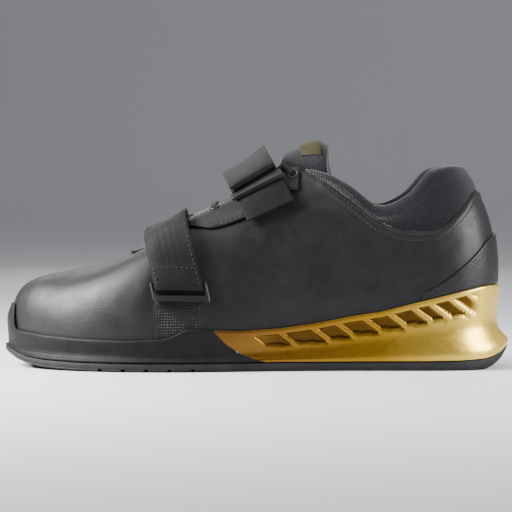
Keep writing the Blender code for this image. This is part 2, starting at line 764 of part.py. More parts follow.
def lace_path():
    """Places (row, across) of a lace that goes from bar to bar, with round corners."""
    straight = LACE_EDGE - LACE_CORNER_ACROSS
    turns = [math.radians(angle) for angle in (22, 45, 68, 90)]
    path = []
    for i, row in enumerate(LACE_ROWS):
        side = 1 if i % 2 else -1
        if i > 0:
            path += [(row - LACE_CORNER_ROWS * (1 - math.cos(turn)),
                      -side * (straight + LACE_CORNER_ACROSS * math.sin(turn)))
                     for turn in reversed(turns)]
        path += [(row, -side * straight * f) for f in (1, 0.6, 0.2, -0.2, -0.6, -1)]
        if i < len(LACE_ROWS) - 1:
            path += [(row + LACE_CORNER_ROWS * (1 - math.cos(turn)),
                      side * (straight + LACE_CORNER_ACROSS * math.sin(turn)))
                     for turn in turns]
    return path


def make_laces():
    lift = 2 * GAP + EYESTAY_WALL + LACE_LIFT
    points = []
    normals = []
    for row, across in lace_path():
        row += LACE_BOW * across * across
        here = cover_point(row, across, lift)
        points.append(here)
        normals.append((cover_point(row, across, 2 * lift) - here).normalized())
    bm = ribbon(points, normals, LACE_WIDTH, LACE_THICK)
    return finish_object(bm, "laces", (0.03, 0.03, 0.03), 0.8)


# Straps

def band(tree, plane, ends, inner, outer, steps, width=1.0):
    """Cross-sections of a band laid over the form, between two angles in degrees.

    inner and outer give its distance to the form at a share of its way.
    """
    run = Vector((math.cos(plane.slope), 0, -math.sin(plane.slope)))
    rise = Vector((math.sin(plane.lean), 0, math.cos(plane.lean)))
    centre = Vector((place(plane.along), STRAP_CENTRE, plane.height))
    loops = []
    for f in spaced(0, 1, steps):
        angle = math.radians(ends[0] + (ends[1] - ends[0]) * f)
        ray = rise * math.sin(angle) + Vector((0, 1, 0)) * math.cos(angle)
        below = []
        above = []
        for share in spaced(-0.5, 0.5, 4):
            start = centre + run * share * plane.width * width
            hit = tree.ray_cast(start, ray)[0]
            if hit is None:
                # The ray went through a seam of the form, so one close beside it is taken
                hit = tree.ray_cast(start + run * GAP, ray)[0]
            below.append(hit + ray * inner(f))
            above.append(hit + ray * outer(f))
        loops.append(below + above[::-1])
    return loops


def arched(first, middle, last, rise, fall):
    """A distance along a band: first and last on the leather, middle over the laces."""
    spans = (0, rise[0], rise[1], fall[0], fall[1], 1)
    return lambda f: float(np.interp(f, spans, (first, first, middle, middle, last, last)))


def make_straps():
    tree = closed_form()
    black = (0.03, 0.03, 0.03)
    seat = 4 * GAP + EYESTAY_WALL
    over = seat + LACE_LIFT + LACE_THICK + GAP
    low = arched(2 * GAP, over, 2 * GAP, FRONT_RISE, FRONT_FALL)
    layers = arched(FRONT_STRAP_THICK, FRONT_STRAP_THICK, STRAP_LAYER, FRONT_RISE, FRONT_FALL)
    loops = band(tree, FRONT_STRAP, FRONT_STRAP_ENDS, low,
                 lambda f: low(f) + layers(f), STRAP_POINTS)
    finish_object(tube_grid(loops), "front_strap", black, 0.7)
    loops = band(tree, FRONT_STRAP, FRONT_LOOP_ENDS, lambda f: 2 * GAP,
                 lambda f: 2 * GAP + LOOP_BAR, 3, LOOP_OVERHANG)
    finish_object(tube_grid(loops), "front_loop", black, 0.5)
    high = arched(over, over + INSTEP_STRAP_RISE, 2 * GAP, INSTEP_RISE, INSTEP_FALL)
    stack = arched(INSTEP_STRAP_THICK, INSTEP_STRAP_THICK, STRAP_LAYER, INSTEP_RISE, INSTEP_FALL)
    loops = band(tree, INSTEP_STRAP, INSTEP_STRAP_ENDS, high,
                 lambda f: high(f) + stack(f), STRAP_POINTS)
    finish_object(tube_grid(loops), "instep_strap", black, 0.7)
    loops = band(tree, INSTEP_STRAP, INSTEP_LOOP_ENDS, lambda f: over,
                 lambda f: over + LOOP_BAR, 3, LOOP_OVERHANG)
    finish_object(tube_grid(loops), "instep_loop", black, 0.5)
    loops = band(tree, INSTEP_STRAP, INSTEP_ANCHOR_ENDS, lambda f: seat,
                 lambda f: seat + ANCHOR_WALL, 6)
    finish_object(tube_grid(loops), "instep_anchor", black, 0.7)


start_clean()
make_outsole()
make_forefoot_midsole()
make_heel_wedge()
make_insole()
make_upper()
make_heel_counter()
make_collar_padding()
make_eyestay()
make_tongue()
make_laces()
make_straps()
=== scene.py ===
"""Looks of the weightlifting shoe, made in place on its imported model.

Frame: metres, +X to the toe, +Y to the outer side of the left foot, +Z up from the floor.
"""
import math
from collections import namedtuple
from functools import lru_cache

import bmesh
import bpy
import numpy as np
from mathutils import Matrix, Vector
from mathutils.bvhtree import BVHTree


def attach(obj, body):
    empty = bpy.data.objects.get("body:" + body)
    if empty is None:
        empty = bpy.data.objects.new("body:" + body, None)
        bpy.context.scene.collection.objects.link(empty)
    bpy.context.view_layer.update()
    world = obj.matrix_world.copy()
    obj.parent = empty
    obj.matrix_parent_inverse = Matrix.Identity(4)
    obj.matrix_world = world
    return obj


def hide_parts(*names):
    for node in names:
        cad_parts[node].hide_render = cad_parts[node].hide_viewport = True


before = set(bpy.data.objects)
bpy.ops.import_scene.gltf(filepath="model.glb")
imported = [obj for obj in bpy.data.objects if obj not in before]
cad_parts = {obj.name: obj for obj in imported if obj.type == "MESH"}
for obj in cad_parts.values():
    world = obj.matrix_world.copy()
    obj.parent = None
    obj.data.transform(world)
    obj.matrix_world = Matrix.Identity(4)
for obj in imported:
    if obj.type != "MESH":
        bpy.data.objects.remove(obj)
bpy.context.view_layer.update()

# Camera, lights and floor. The shoe is seen square from its outer side with the toe on the
# left, a little from above, on a pale floor that rises all round like a photographer's sweep.
WATCHED = Vector((0.1095, 0.0, 0.0653))
CAMERA_DISTANCE = 1.6
CAMERA_RISE = math.radians(2.0)
PICTURE_WIDTH = 0.3052
SWEEP_RADIUS = 2.6
SWEEP_BEND = 1.0
SWEEP_HEIGHT = 1.2

camera = bpy.data.objects.new("camera", bpy.data.cameras.new("camera"))
bpy.context.collection.objects.link(camera)
towards = Vector((0, math.cos(CAMERA_RISE), math.sin(CAMERA_RISE)))
camera.location = WATCHED + towards * CAMERA_DISTANCE
camera.rotation_euler = (-towards).to_track_quat("-Z", "Y").to_euler()
camera.data.lens = camera.data.sensor_width * CAMERA_DISTANCE / PICTURE_WIDTH
bpy.context.scene.camera = camera


def add_light(name, place, size, power):
    """A soft rectangular lamp that looks at the shoe."""
    lamp = bpy.data.lights.new(name, "AREA")
    lamp.shape = "RECTANGLE"
    lamp.size, lamp.size_y = size
    lamp.energy = power
    item = bpy.data.objects.new(name, lamp)
    bpy.context.collection.objects.link(item)
    item.location = place
    item.rotation_euler = (WATCHED - Vector(place)).to_track_quat("-Z", "Y").to_euler()


def shader_of(material):
    return material.node_tree.nodes["Principled BSDF"]


add_light("toe_light", (0.66, 0.10, 0.40), (0.3, 0.3), 24)
add_light("heel_light", (-0.50, 0.16, 0.28), (0.3, 0.3), 7.5)
add_light("top_light", (0.1, 0.1, 1.5), (1.1, 0.6), 9)
add_light("far_light", (0.2, -1.3, 0.9), (1.2, 0.6), 8)

world = bpy.data.worlds.new("studio")
world.use_nodes = True
world.node_tree.nodes["Background"].inputs["Color"].default_value = (0.93, 0.95, 1.0, 1)
world.node_tree.nodes["Background"].inputs["Strength"].default_value = 0.12
bpy.context.scene.world = world

bm = bmesh.new()
profile = [bm.verts.new((r, 0, 0)) for r in (0.0005, 0.4, 1.2, SWEEP_RADIUS - SWEEP_BEND)]
for step in range(1, 9):
    turn = math.radians(90 * step / 8)
    profile.append(bm.verts.new((SWEEP_RADIUS - SWEEP_BEND + SWEEP_BEND * math.sin(turn), 0,
                                 SWEEP_BEND * (1 - math.cos(turn)))))
profile.append(bm.verts.new((SWEEP_RADIUS, 0, SWEEP_BEND + SWEEP_HEIGHT)))
line = [bm.edges.new(pair) for pair in zip(profile, profile[1:])]
bmesh.ops.spin(bm, geom=profile + line, cent=(0, 0, 0), axis=(0, 0, 1), dvec=(0, 0, 0),
               angle=2 * math.pi, steps=64, use_merge=True)
bmesh.ops.remove_doubles(bm, verts=bm.verts, dist=0.001)
bmesh.ops.translate(bm, verts=bm.verts, vec=(WATCHED.x, 0, -0.0003))
bmesh.ops.recalc_face_normals(bm, faces=bm.faces)
mesh = bpy.data.meshes.new("floor")
bm.to_mesh(mesh)
bm.free()
mesh.shade_smooth()
floor = bpy.data.objects.new("floor", mesh)
bpy.context.collection.objects.link(floor)
paper = bpy.data.materials.new("pale_floor")
paper.use_nodes = True
shader_of(paper).inputs["Base Color"].default_value = (0.58, 0.59, 0.61, 1)
shader_of(paper).inputs["Roughness"].default_value = 0.7
mesh.materials.append(paper)

# Form of the last. The shoe is pulled over it, so every soft piece is worked out from this
# ring of sections, the same that the solids have: each is a curve from the feather line,
# where the upper meets the sole, to the top edge at the throat or the collar.
LENGTH = 0.300
HEEL_BEHIND = 0.040
BALL_WIDTH = 0.098
HEEL_WIDTH = 0.072
THROAT_HEIGHT = 0.1175
COLLAR_HEIGHT = 0.1204
HEEL_LIFT = 0.0335
FORE_LIFT = 0.0115
WEDGE_WALL_TOP = 0.0490
RAND_TOP = 0.0180
BUMPER_TOP = 0.0368
GAP = 0.0003

Section = namedtuple(
    "Section",
    "along outer inner top_along top_outer top_inner top spread rise roll drop leather",
)
FORE_SECTIONS = [Section(*row) for row in (
    (0.985, -0.25, -0.25, 0.713, -0.10, -0.10, 0.618, 0.085, 0.97, 0.57, 0.50, 1),
    (0.966, 0.11, -0.58, 0.708, 0.03, -0.23, 0.621, 0.07, 0.91, 0.55, 0.45, 1),
    (0.927, 0.41, -0.79, 0.693, 0.13, -0.32, 0.630, 0.05, 0.80, 0.52, 0.38, 1),
    (0.875, 0.68, -0.92, 0.667, 0.19, -0.38, 0.662, 0.05, 0.70, 0.50, 0.28, 1),
    (0.810, 0.88, -1.00, 0.633, 0.22, -0.39, 0.722, 0.06, 0.62, 0.50, 0.20, 1),
    (0.740, 0.99, -1.01, 0.600, 0.24, -0.39, 0.782, 0.07, 0.56, 0.50, 0.15, 1),
    (0.667, 1.00, -0.96, 0.560, 0.25, -0.39, 0.823, 0.08, 0.52, 0.50, 0.13, 1),
    (0.593, 0.95, -0.87, 0.520, 0.26, -0.39, 0.861, 0.10, 0.50, 0.50, 0.12, 1),
    (0.520, 0.87, -0.76, 0.477, 0.27, -0.39, 0.929, 0.12, 0.50, 0.50, 0.12, 1),
    (0.447, 0.79, -0.68, 0.433, 0.29, -0.40, 1.000, 0.15, 0.50, 0.45, 0.15, 1),
)]
REAR_SECTIONS = [Section(*row) for row in (
    (0.377, 1.04, -0.90, 0.370, 0.63, -0.71, 0.963, 0.25, 0.48, 0.40, 0.30, 0.949),
    (0.317, 1.00, -0.89, 0.315, 0.79, -0.79, 0.893, 0.45, 0.45, 0.45, 0.35, 0.907),
    (0.257, 1.00, -0.93, 0.260, 0.86, -0.85, 0.802, 0.70, 0.42, 0.50, 0.38, 0.866),
    (0.200, 0.99, -0.98, 0.204, 0.86, -0.86, 0.851, 0.60, 0.42, 0.50, 0.38, 0.718),
    (0.137, 0.95, -0.95, 0.160, 0.76, -0.76, 0.962, 0.35, 0.42, 0.45, 0.32, 0.608),
    (0.086, 0.80, -0.80, 0.123, 0.56, -0.56, 0.998, 0.31, 0.48, 0.44, 0.24, 0.685),
    (0.048, 0.50, -0.50, 0.098, 0.31, -0.31, 1.000, 0.38, 0.55, 0.43, 0.20, 0.795),
    (0.028, 0.00, 0.00, 0.088, 0.00, 0.00, 0.998, 0.45, 0.58, 0.42, 0.17, 0.821),
)]
THROAT_ROWS = len(FORE_SECTIONS) - 1
SIDE_ROWS = len(FORE_SECTIONS) + len(REAR_SECTIONS) - 1
RING_ROWS = 2 * SIDE_ROWS
CUFF_START = THROAT_ROWS + 0.5
UP = Vector((0, 0, 1))

# Side view of the sole: place on the length, footbed and top of the sole's wall
SoleRow = namedtuple("SoleRow", "along bed wall")
SOLE_ROWS = [SoleRow(*row) for row in (
    (-0.010, 1.00, 0.99), (0.033, 1.00, 1.00), (0.048, 0.99, 1.00), (0.065, 0.97, 0.98),
    (0.096, 0.92, 0.91), (0.175, 0.77, 0.72), (0.254, 0.59, 0.53), (0.313, 0.43, 0.44),
    (0.388, 0.27, 0.30), (0.451, 0.15, 0.22), (0.530, 0.05, 0.17), (0.585, 0.02, 0.19),
    (0.611, 0.01, 0.23), (0.634, 0.00, 0.20), (0.658, 0.00, 0.09), (0.677, 0.00, 0.03),
    (0.743, 0.00, 0.00), (0.842, 0.01, 0.02), (0.914, 0.05, 0.07), (0.952, 0.09, 0.11),
    (0.973, 0.11, 0.14), (1.000, 0.13, 0.15),
)]


def place(share):
    """X of a place given as a share of the length from the heel-most point."""
    return share * LENGTH - HEEL_BEHIND


def held(f):
    """A share held between 0 and 1."""
    return min(max(f, 0), 1)


def ease(f):
    """A share held between 0 and 1 that starts and ends softly."""
    f = held(f)
    return f * f * (3 - 2 * f)


def between(p0, p1, p2, p3, f):
    """A smooth value at a share f of the way from p1 to p2."""
    return 0.5 * (2 * p1 + (p2 - p0) * f + (2 * p0 - 5 * p1 + 4 * p2 - p3) * f * f
                  + (3 * p1 - p0 - 3 * p2 + p3) * f ** 3)


def last_place(low, high, holds, rounds=24):
    """The last place between low and high up to which holds(place) is true."""
    for _ in range(rounds):
        middle = (low + high) / 2
        if holds(middle):
            low = middle
        else:
            high = middle
    return low


def side_points(section, width, height):
    """Feather and top edge points of one section, on the outer and on the inner side."""
    sides = []
    for across, top_across in ((section.outer, section.top_outer),
                               (section.inner, section.top_inner)):
        foot = (place(section.along), across * width / 2)
        top = (place(section.top_along), top_across * width / 2, section.top * height)
        sides.append(foot + top + tuple(section[7:]))
    return sides


pairs = [side_points(row, BALL_WIDTH, THROAT_HEIGHT) for row in FORE_SECTIONS]
pairs += [side_points(row, HEEL_WIDTH, COLLAR_HEIGHT) for row in REAR_SECTIONS]
RING = np.array([pair[0] for pair in pairs] + [pair[1] for pair in pairs][-2:0:-1])


@lru_cache(maxsize=None)
def ring_at(s):
    """Smooth values between the sections, at ring place s in rows from the toe."""
    base = math.floor(s)
    return between(*(RING[(base + k) % RING_ROWS] for k in (-1, 0, 1, 2)), s - base)


def table_value(rows, at, name):
    """The value of a named column where the table's first column has the value at."""
    return float(np.interp(at, [row[0] for row in rows], [getattr(row, name) for row in rows]))


def along_shoe(x):
    """A place as a share of the length from the heel-most point."""
    return (x + HEEL_BEHIND) / LENGTH


def bed_height(x):
    return FORE_LIFT + (HEEL_LIFT - FORE_LIFT) * table_value(SOLE_ROWS, along_shoe(x), "bed")


def wall_height(x):
    return RAND_TOP + (WEDGE_WALL_TOP - RAND_TOP) * table_value(SOLE_ROWS, along_shoe(x), "wall")


@lru_cache(maxsize=None)
def column(s):
    """The four control points of the form's curve at ring place s."""
    foot_x, foot_y, top_x, top_y, top_z, spread, rise, roll, drop, _ = ring_at(s)
    foot = Vector((foot_x, foot_y, bed_height(foot_x) + GAP))
    top = Vector((top_x, top_y, top_z))
    reach = Vector((foot_x - top_x, foot_y - top_y, 0))
    height = top_z - foot.z
    low = foot + reach * spread + UP * rise * height
    high = top + reach * roll - UP * drop * height
    return foot, low, high, top


def curve_point(points, t):
    a, b, c, d = points
    u = 1 - t
    return a * u ** 3 + b * 3 * t * u * u + c * 3 * t * t * u + d * t ** 3


def form_normal(s, t):
    t = min(max(t, 0.01), 0.99)
    along = curve_point(column(s + 0.05), t) - curve_point(column(s - 0.05), t)
    upward = curve_point(column(s), t + 0.01) - curve_point(column(s), t - 0.01)
    return along.cross(upward).normalized()


def form_point(s, t, offset=0.0):
    """A point of the form, from the feather line (t 0) to the top edge (t 1)."""
    here = curve_point(column(s), t)
    return here + form_normal(s, t) * offset if offset else here


def share_at(s, height):
    """Share t at which the form's curve reaches a height."""
    points = column(s)
    return last_place(0.0, 1.0, lambda t: curve_point(points, t).z < height)


@lru_cache(maxsize=None)
def leather_share(s):
    """Share t at which the leather ends and the cuff begins."""
    points = column(s)
    share = min(ring_at(s)[9], 1)
    if share > 0.995:
        return 1.0
    return share_at(s, points[0].z + share * (points[3].z - points[0].z))


def side_place(s):
    """Rows from the toe, the same for both sides."""
    s = s % RING_ROWS
    return min(s, RING_ROWS - s)


def bumper_share(s):
    """1 round the tip of the toe, where the bumper is, and 0 along the sides."""
    return ease((0.95 - side_place(s)) / 0.45)


@lru_cache(maxsize=None)
def wall_top(s):
    """Top of the sole's wall round the upper, with the bumper at the toe."""
    low = wall_height(ring_at(s)[0])
    return low + (BUMPER_TOP - low) * bumper_share(s)


@lru_cache(maxsize=None)
def curve_length(s):
    points = [curve_point(column(s), t / 6) for t in range(7)]
    return sum((b - a).length for a, b in zip(points, points[1:]))


# Upper. One wall of smooth black microfibre leather about 2 mm thick, lasted over the form
# and cemented into the sole. Its creases are soft, because the shoe is nearly new.
UPPER_WALL = 0.0020
LEATHER = (0.0102, 0.0102, 0.0111)
THREAD = (0.030, 0.030, 0.033)


def new_finish(name, colour, roughness, metallic=0.0):
    """A material with its shader's plain values."""
    material = bpy.data.materials.new(name)
    material.use_nodes = True
    shader = shader_of(material)
    shader.inputs["Base Color"].default_value = (*colour, 1)
    shader.inputs["Roughness"].default_value = roughness
    shader.inputs["Metallic"].default_value = metallic
    shader.inputs["Specular IOR Level"].default_value = 0.22 if roughness < 0.5 else 0.12
    return material


def add_node(material, kind, settings=None, **values):
    """A node of a material, with settings and with socket values by name."""
    node = material.node_tree.nodes.new(kind)
    for key, value in (settings or {}).items():
        setattr(node, key, value)
    for key, value in values.items():
        name = key.replace("_", " ")
        if isinstance(value, bpy.types.NodeSocket):
            material.node_tree.links.new(value, node.inputs[name])
        else:
            node.inputs[name].default_value = value
    return node


def pattern_place(material, source, stretch):
    """Where a pattern is read: the piece's own coordinates or its UV map, stretched."""
    place_node = add_node(material, "ShaderNodeTexCoord")
    return add_node(material, "ShaderNodeMapping", Vector=place_node.outputs[source], Scale=stretch)


def spots(material, scale, detail=4.0, rough=0.6, stretch=(1, 1, 1), source="Object"):
    """Cloudy variation in the piece's own coordinates, about 1/scale metres across."""
    mapping = pattern_place(material, source, stretch)
    noise = add_node(material, "ShaderNodeTexNoise", Vector=mapping.outputs[0], Scale=scale,
                     Detail=detail, Roughness=rough)
    return noise.outputs["Fac"]


def cells(material, scale, feature="F1", stretch=(1, 1, 1), source="Object", random=1.0):
    """A pattern of cells, 1/scale metres across."""
    mapping = pattern_place(material, source, stretch)
    voronoi = add_node(material, "ShaderNodeTexVoronoi", {"feature": feature},
                       Vector=mapping.outputs[0], Scale=scale, Randomness=random)
    return voronoi.outputs["Distance"]


def tint(material, factor, low, high, dark, light):
    """Colour the piece between two colours by a pattern, from its value low to high."""
    ramp = add_node(material, "ShaderNodeValToRGB", Fac=factor)
    ramp.color_ramp.elements[0].position = low
    ramp.color_ramp.elements[1].position = high
    ramp.color_ramp.elements[0].color = (*dark, 1)
    ramp.color_ramp.elements[1].color = (*light, 1)
    material.node_tree.links.new(ramp.outputs["Color"], shader_of(material).inputs["Base Color"])


def vary_gloss(material, factor, low, high):
    """Vary the roughness between two values by a pattern."""
    spread = add_node(material, "ShaderNodeMapRange", Value=factor, From_Min=0.3, From_Max=0.7,
                      To_Min=low, To_Max=high)
    material.node_tree.links.new(spread.outputs["Result"], shader_of(material).inputs["Roughness"])


def raise_by(material, height, depth, strength=1.0):
    """Add a relief of a depth in metres over those that the material has already."""
    shader = shader_of(material)
    bump = add_node(material, "ShaderNodeBump", Height=height, Distance=depth, Strength=strength)
    if shader.inputs["Normal"].links:
        before = shader.inputs["Normal"].links[0].from_socket
        material.node_tree.links.new(before, bump.inputs["Normal"])
    material.node_tree.links.new(bump.outputs["Normal"], shader.inputs["Normal"])


def leather_finish(name, colour, roughness, grain):
    """Matt microfibre leather: fine pebbles, faint clouds of gloss and soft unevenness."""
    material = new_finish(name, colour, roughness)
    cloud = spots(material, 60, 5)
    tint(material, cloud, 0.3, 0.75, [c * 0.8 for c in colour], [c * 1.25 for c in colour])
    vary_gloss(material, spots(material, 140, 3), roughness - 0.06, roughness + 0.07)
    raise_by(material, spots(material, 45, 2), 0.0009, 0.35)
    raise_by(material, cells(material, 1500), 0.00016, grain)
    raise_by(material, spots(material, 2600, 2), 0.00008, grain)
    shader = shader_of(material)
    shader.inputs["Coat Weight"].default_value = 0.04
    shader.inputs["Coat Roughness"].default_value = 0.35
    return material


def loft(columns, rows, point_at, size=(1, 1)):
    """A grid of quads whose vertices go where point_at(u, v) puts them, u and v 0 to 1.

    Edges that fall together are joined. Its UV map holds u and v times the given sizes.
    """
    bm = bmesh.new()
    cloth = bm.loops.layers.uv.new("cloth")
    bmesh.ops.create_grid(bm, x_segments=columns, y_segments=rows, size=0.5)
    for face in bm.faces:
        for corner in face.loops:
            corner[cloth].uv = ((corner.vert.co.x + 0.5) * size[0],
                                (corner.vert.co.y + 0.5) * size[1])
    for vert in bm.verts:
        vert.co = point_at(held(vert.co.x + 0.5), held(vert.co.y + 0.5))
    bmesh.ops.remove_doubles(bm, verts=bm.verts, dist=0.00002)
    return bm


def close_ends(bm):
    """Close the open ends of a loft and turn its faces outwards."""
    edges = [edge for edge in bm.edges if edge.is_boundary]
    if edges:
        bmesh.ops.holes_fill(bm, edges=edges, sides=0)
    bmesh.ops.recalc_face_normals(bm, faces=bm.faces)
    return bm


def face_out(bm, centre_height=0.05):
    """Turn the faces of an open sheet away from the inside of the shoe."""
    bmesh.ops.recalc_face_normals(bm, faces=bm.faces)
    bm.normal_update()
    total = 0
    for face in bm.faces:
        centre = face.calc_center_median()
        core = Vector((min(max(centre.x, 0.0), 0.2), 0, centre_height))
        total += face.normal.dot((centre - core).normalized()) * face.calc_area()
    if total < 0:
        bmesh.ops.reverse_faces(bm, faces=bm.faces)
    return bm


def make_piece(bm, name, material, nodes=(), wall=0.0, rounding=0.0, smooth=50):
    """Turn a bmesh into a finished piece on the shoe's body."""
    mesh = bpy.data.meshes.new(name)
    bm.to_mesh(mesh)
    bm.free()
    item = bpy.data.objects.new(name, mesh)
    bpy.context.collection.objects.link(item)
    mesh.materials.append(material)
    if wall:
        solid = item.modifiers.new("wall", "SOLIDIFY")
        solid.thickness = wall
        solid.offset = -1
    if rounding:
        bevel = item.modifiers.new("rounding", "BEVEL")
        bevel.width = rounding
        bevel.segments = 3
        bevel.limit_method = "ANGLE"
        bevel.angle_limit = math.radians(smooth - 10)
    if wall or rounding:
        bpy.context.view_layer.update()
        graph = bpy.context.evaluated_depsgraph_get()
        item.data = bpy.data.meshes.new_from_object(item.evaluated_get(graph))
        item.modifiers.clear()
    item.data.shade_smooth()
    item.data.set_sharp_from_angle(angle=math.radians(smooth))
    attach(item, "root")
    if nodes:
        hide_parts(*nodes)
    return item


def shoe_line(points):
    """X and Z of points given in millimetres from the heel-most point and from the floor."""
    return np.array([(d / 1000 - HEEL_BEHIND, z / 1000) for d, z in points])


def line_distance(spots_xz, line):
    """Distance in side view of many points to a line, and where on it the nearest lies."""
    best = np.full(len(spots_xz), 1e9)
    where = np.zeros(len(spots_xz))
    for i in range(len(line) - 1):
        a, b = line[i], line[i + 1]
        f = np.clip(((spots_xz - a) @ (b - a)) / ((b - a) @ (b - a)), 0, 1)
        away = np.linalg.norm(spots_xz - (a + f[:, None] * (b - a)), axis=1)
        where = np.where(away < best, (i + f) / (len(line) - 1), where)
        best = np.minimum(best, away)
    return best, where


# side (1 outer, -1 inner, 0 both), width and depth in mm (minus is a trough), line
Fold = namedtuple("Fold", "side width depth line")
UPPER_FOLDS = [
    Fold(0, 3.5, -0.35, [(213, 26), (210, 40), (206, 55), (203, 66)]),
    Fold(0, 5.0, 0.30, [(219, 28), (217, 42), (213, 56)]),
    Fold(0, 6.0, -0.55, [(112, 98), (98, 86), (84, 74), (70, 68), (56, 69)]),
    Fold(0, 4.0, 0.35, [(118, 104), (104, 95), (90, 84), (76, 76)]),
    Fold(0, 9.0, -0.8, [(150, 72), (128, 66), (104, 60), (80, 55)]),
    Fold(0, 7.0, 0.5, [(158, 50), (134, 44), (110, 44), (86, 46)]),
    Fold(0, 3.0, -0.30, [(50, 64), (38, 70), (28, 80)]),
    Fold(-1, 4.0, -0.5, [(186, 24), (182, 38), (184, 52)]),
    Fold(-1, 4.0, -0.4, [(172, 26), (170, 40), (174, 55)]),
    Fold(1, 3.0, -0.3, [(176, 28), (173, 36), (176, 42)]),
    Fold(0, 3.0, -0.25, [(236, 50), (228, 57), (223, 64)]),
    Fold(1, 3.0, -0.3, [(66, 46), (52, 52), (40, 60)]),
]


def press_folds(bm, folds):
    """Move the vertices in and out along soft troughs and ridges."""
    bm.normal_update()
    verts = list(bm.verts)
    spots_xyz = np.array([vert.co for vert in verts])
    height = np.zeros(len(verts))
    for fold in folds:
        away, where = line_distance(spots_xyz[:, [0, 2]], shoe_line(fold.line))
        fade = np.sin(np.pi * np.clip(where, 0.04, 0.96)) ** 0.5
        amount = fold.depth / 1000 * fade * np.exp(-(away / (fold.width / 1000)) ** 2)
        if fold.side:
            amount = amount * np.clip(spots_xyz[:, 1] * fold.side / 0.01, 0, 1)
        height += amount
    for vert, amount in zip(verts, height):
        vert.co += vert.normal * float(amount)


def upper_point(u, v):
    s = u * RING_ROWS
    top = leather_share(s)
    edge = (1 - v) * top * curve_length(s)
    ridge = 0.0
    if side_place(s) > THROAT_ROWS + 1:
        ridge = 0.0007 * math.exp(-((edge - 0.0036) / 0.0016) ** 2)
    thin = -0.0005 * math.exp(-(edge / 0.0010) ** 2)
    return form_point(s, top * v, ridge + thin)


black_leather = leather_finish("smooth_black_leather", LEATHER, 0.43, 0.5)
vents = add_node(black_leather, "ShaderNodeAttribute", {"attribute_name": "vents"})
holes_pattern = cells(black_leather, 620, random=0.0)
deep = add_node(black_leather, "ShaderNodeMapRange", Value=holes_pattern,
                From_Min=0.22, From_Max=0.40)
vented = add_node(black_leather, "ShaderNodeMath", {"operation": "MULTIPLY"})
black_leather.node_tree.links.new(deep.outputs["Result"], vented.inputs[0])
black_leather.node_tree.links.new(vents.outputs["Fac"], vented.inputs[1])
raise_by(black_leather, vented.outputs[0], 0.0007, 1.0)
bm = face_out(loft(374, 40, upper_point, (0.68, 0.09)))
press_folds(bm, UPPER_FOLDS)
# Field of vent holes, in mm from the heel-most point and over the floor
VENTS_BACK, VENTS_FRONT, VENTS_TOP = 181, 208, 40
vent_layer = bm.verts.layers.float.new("vents")
for vert in bm.verts:
    d, height = (vert.co.x + HEEL_BEHIND) * 1000, vert.co.z * 1000
    inside = held((VENTS_FRONT - d) / 1.2) * held((d - VENTS_BACK) / 3)
    inside *= held((VENTS_TOP - height) / 1.5)
    vert[vent_layer] = inside
    vert.co -= vert.normal * 0.0005 * inside
make_piece(bm, "leather_upper", black_leather, ["upper"], wall=UPPER_WALL)

# Stitches. Bonded polyester thread in the leather's own black, lockstitched through every
# overlay's edge: each stitch is a small rounded bead that lies in the surface.
STITCH_LENGTH = 0.0021
STITCH_PITCH = 0.0029
STITCH_WIDTH = 0.00055
STITCH_LIFT = 0.00005
thread = new_finish("black_thread", THREAD, 0.55)
raise_by(thread, spots(thread, 4000, 2), 0.0001)


def sew(bm, path):
    """Add a row of stitches along a path of (point, normal)."""
    travelled = 0.0
    due = STITCH_PITCH / 2
    for (a, normal), (b, _) in zip(path, path[1:]):
        step = (b - a).length
        while step > 0 and travelled + step > due:
            here = a + (b - a) * ((due - travelled) / step)
            along = (b - a).normalized()
            side = normal.cross(along).normalized()
            up = along.cross(side)
            bead = laid_at(here + up * STITCH_LIFT, along * STITCH_LENGTH / 2,
                           side * STITCH_WIDTH / 2, up * STITCH_WIDTH / 2)
            bmesh.ops.create_icosphere(bm, subdivisions=1, radius=1, matrix=bead)
            due += STITCH_PITCH
        travelled += step


def laid_at(place, *axes):
    """A matrix that lays a shape at a place, turned and sized along three axes."""
    matrix = Matrix(axes).transposed().to_4x4()
    matrix.translation = place
    return matrix


def spread_out(first, last, count):
    return [first + (last - first) * i / (count - 1) for i in range(count)]


def form_path(rows, share_of, offset):
    """Points and normals on the form at ring rows, at the share that share_of(row) gives."""
    return [(form_point(s, share_of(s), offset), form_normal(s, share_of(s))) for s in rows]


stitches = bmesh.new()
rows = spread_out(THROAT_ROWS + 1.2, RING_ROWS - THROAT_ROWS - 1.2, 160)
for inset, lift in ((0.0022, 0.0002), (0.0062, 0.0001)):
    sew(stitches, form_path(rows, lambda s: leather_share(s) - inset / curve_length(s), lift))

# Heel counter. A thermoplastic-backed leather overlay, 1.1 mm thick, wrapped round the back
# of the heel down into the sole and sewn twice along its upper edge.
COUNTER_EDGE = [(13.4, 0.37), (14.0, 0.42), (15.0, 0.52), (16.0, 0.62), (17.0, 0.66)]
COUNTER_WALL = 0.0011


@lru_cache(maxsize=None)
def counter_share(s):
    return share_at(s, float(np.interp(side_place(s), *zip(*COUNTER_EDGE))) * COLLAR_HEIGHT)


def counter_point(u, v):
    first = COUNTER_EDGE[0][0]
    s = first + u * (RING_ROWS - 2 * first)
    low = share_at(s, wall_top(s) + 2 * GAP)
    high = counter_share(s)
    return form_point(s, low + (high - low) * v, GAP + COUNTER_WALL)


bm = face_out(loft(90, 14, counter_point, (0.14, 0.04)))
make_piece(bm, "heel_counter_overlay", black_leather, ["heel_counter"],
           wall=COUNTER_WALL, rounding=0.0004)
rows = spread_out(13.6, RING_ROWS - 13.6, 90)
for inset in (0.0020, 0.0044):
    sew(stitches, form_path(rows, lambda s: counter_share(s) - inset / curve_length(s),
                            GAP + COUNTER_WALL))

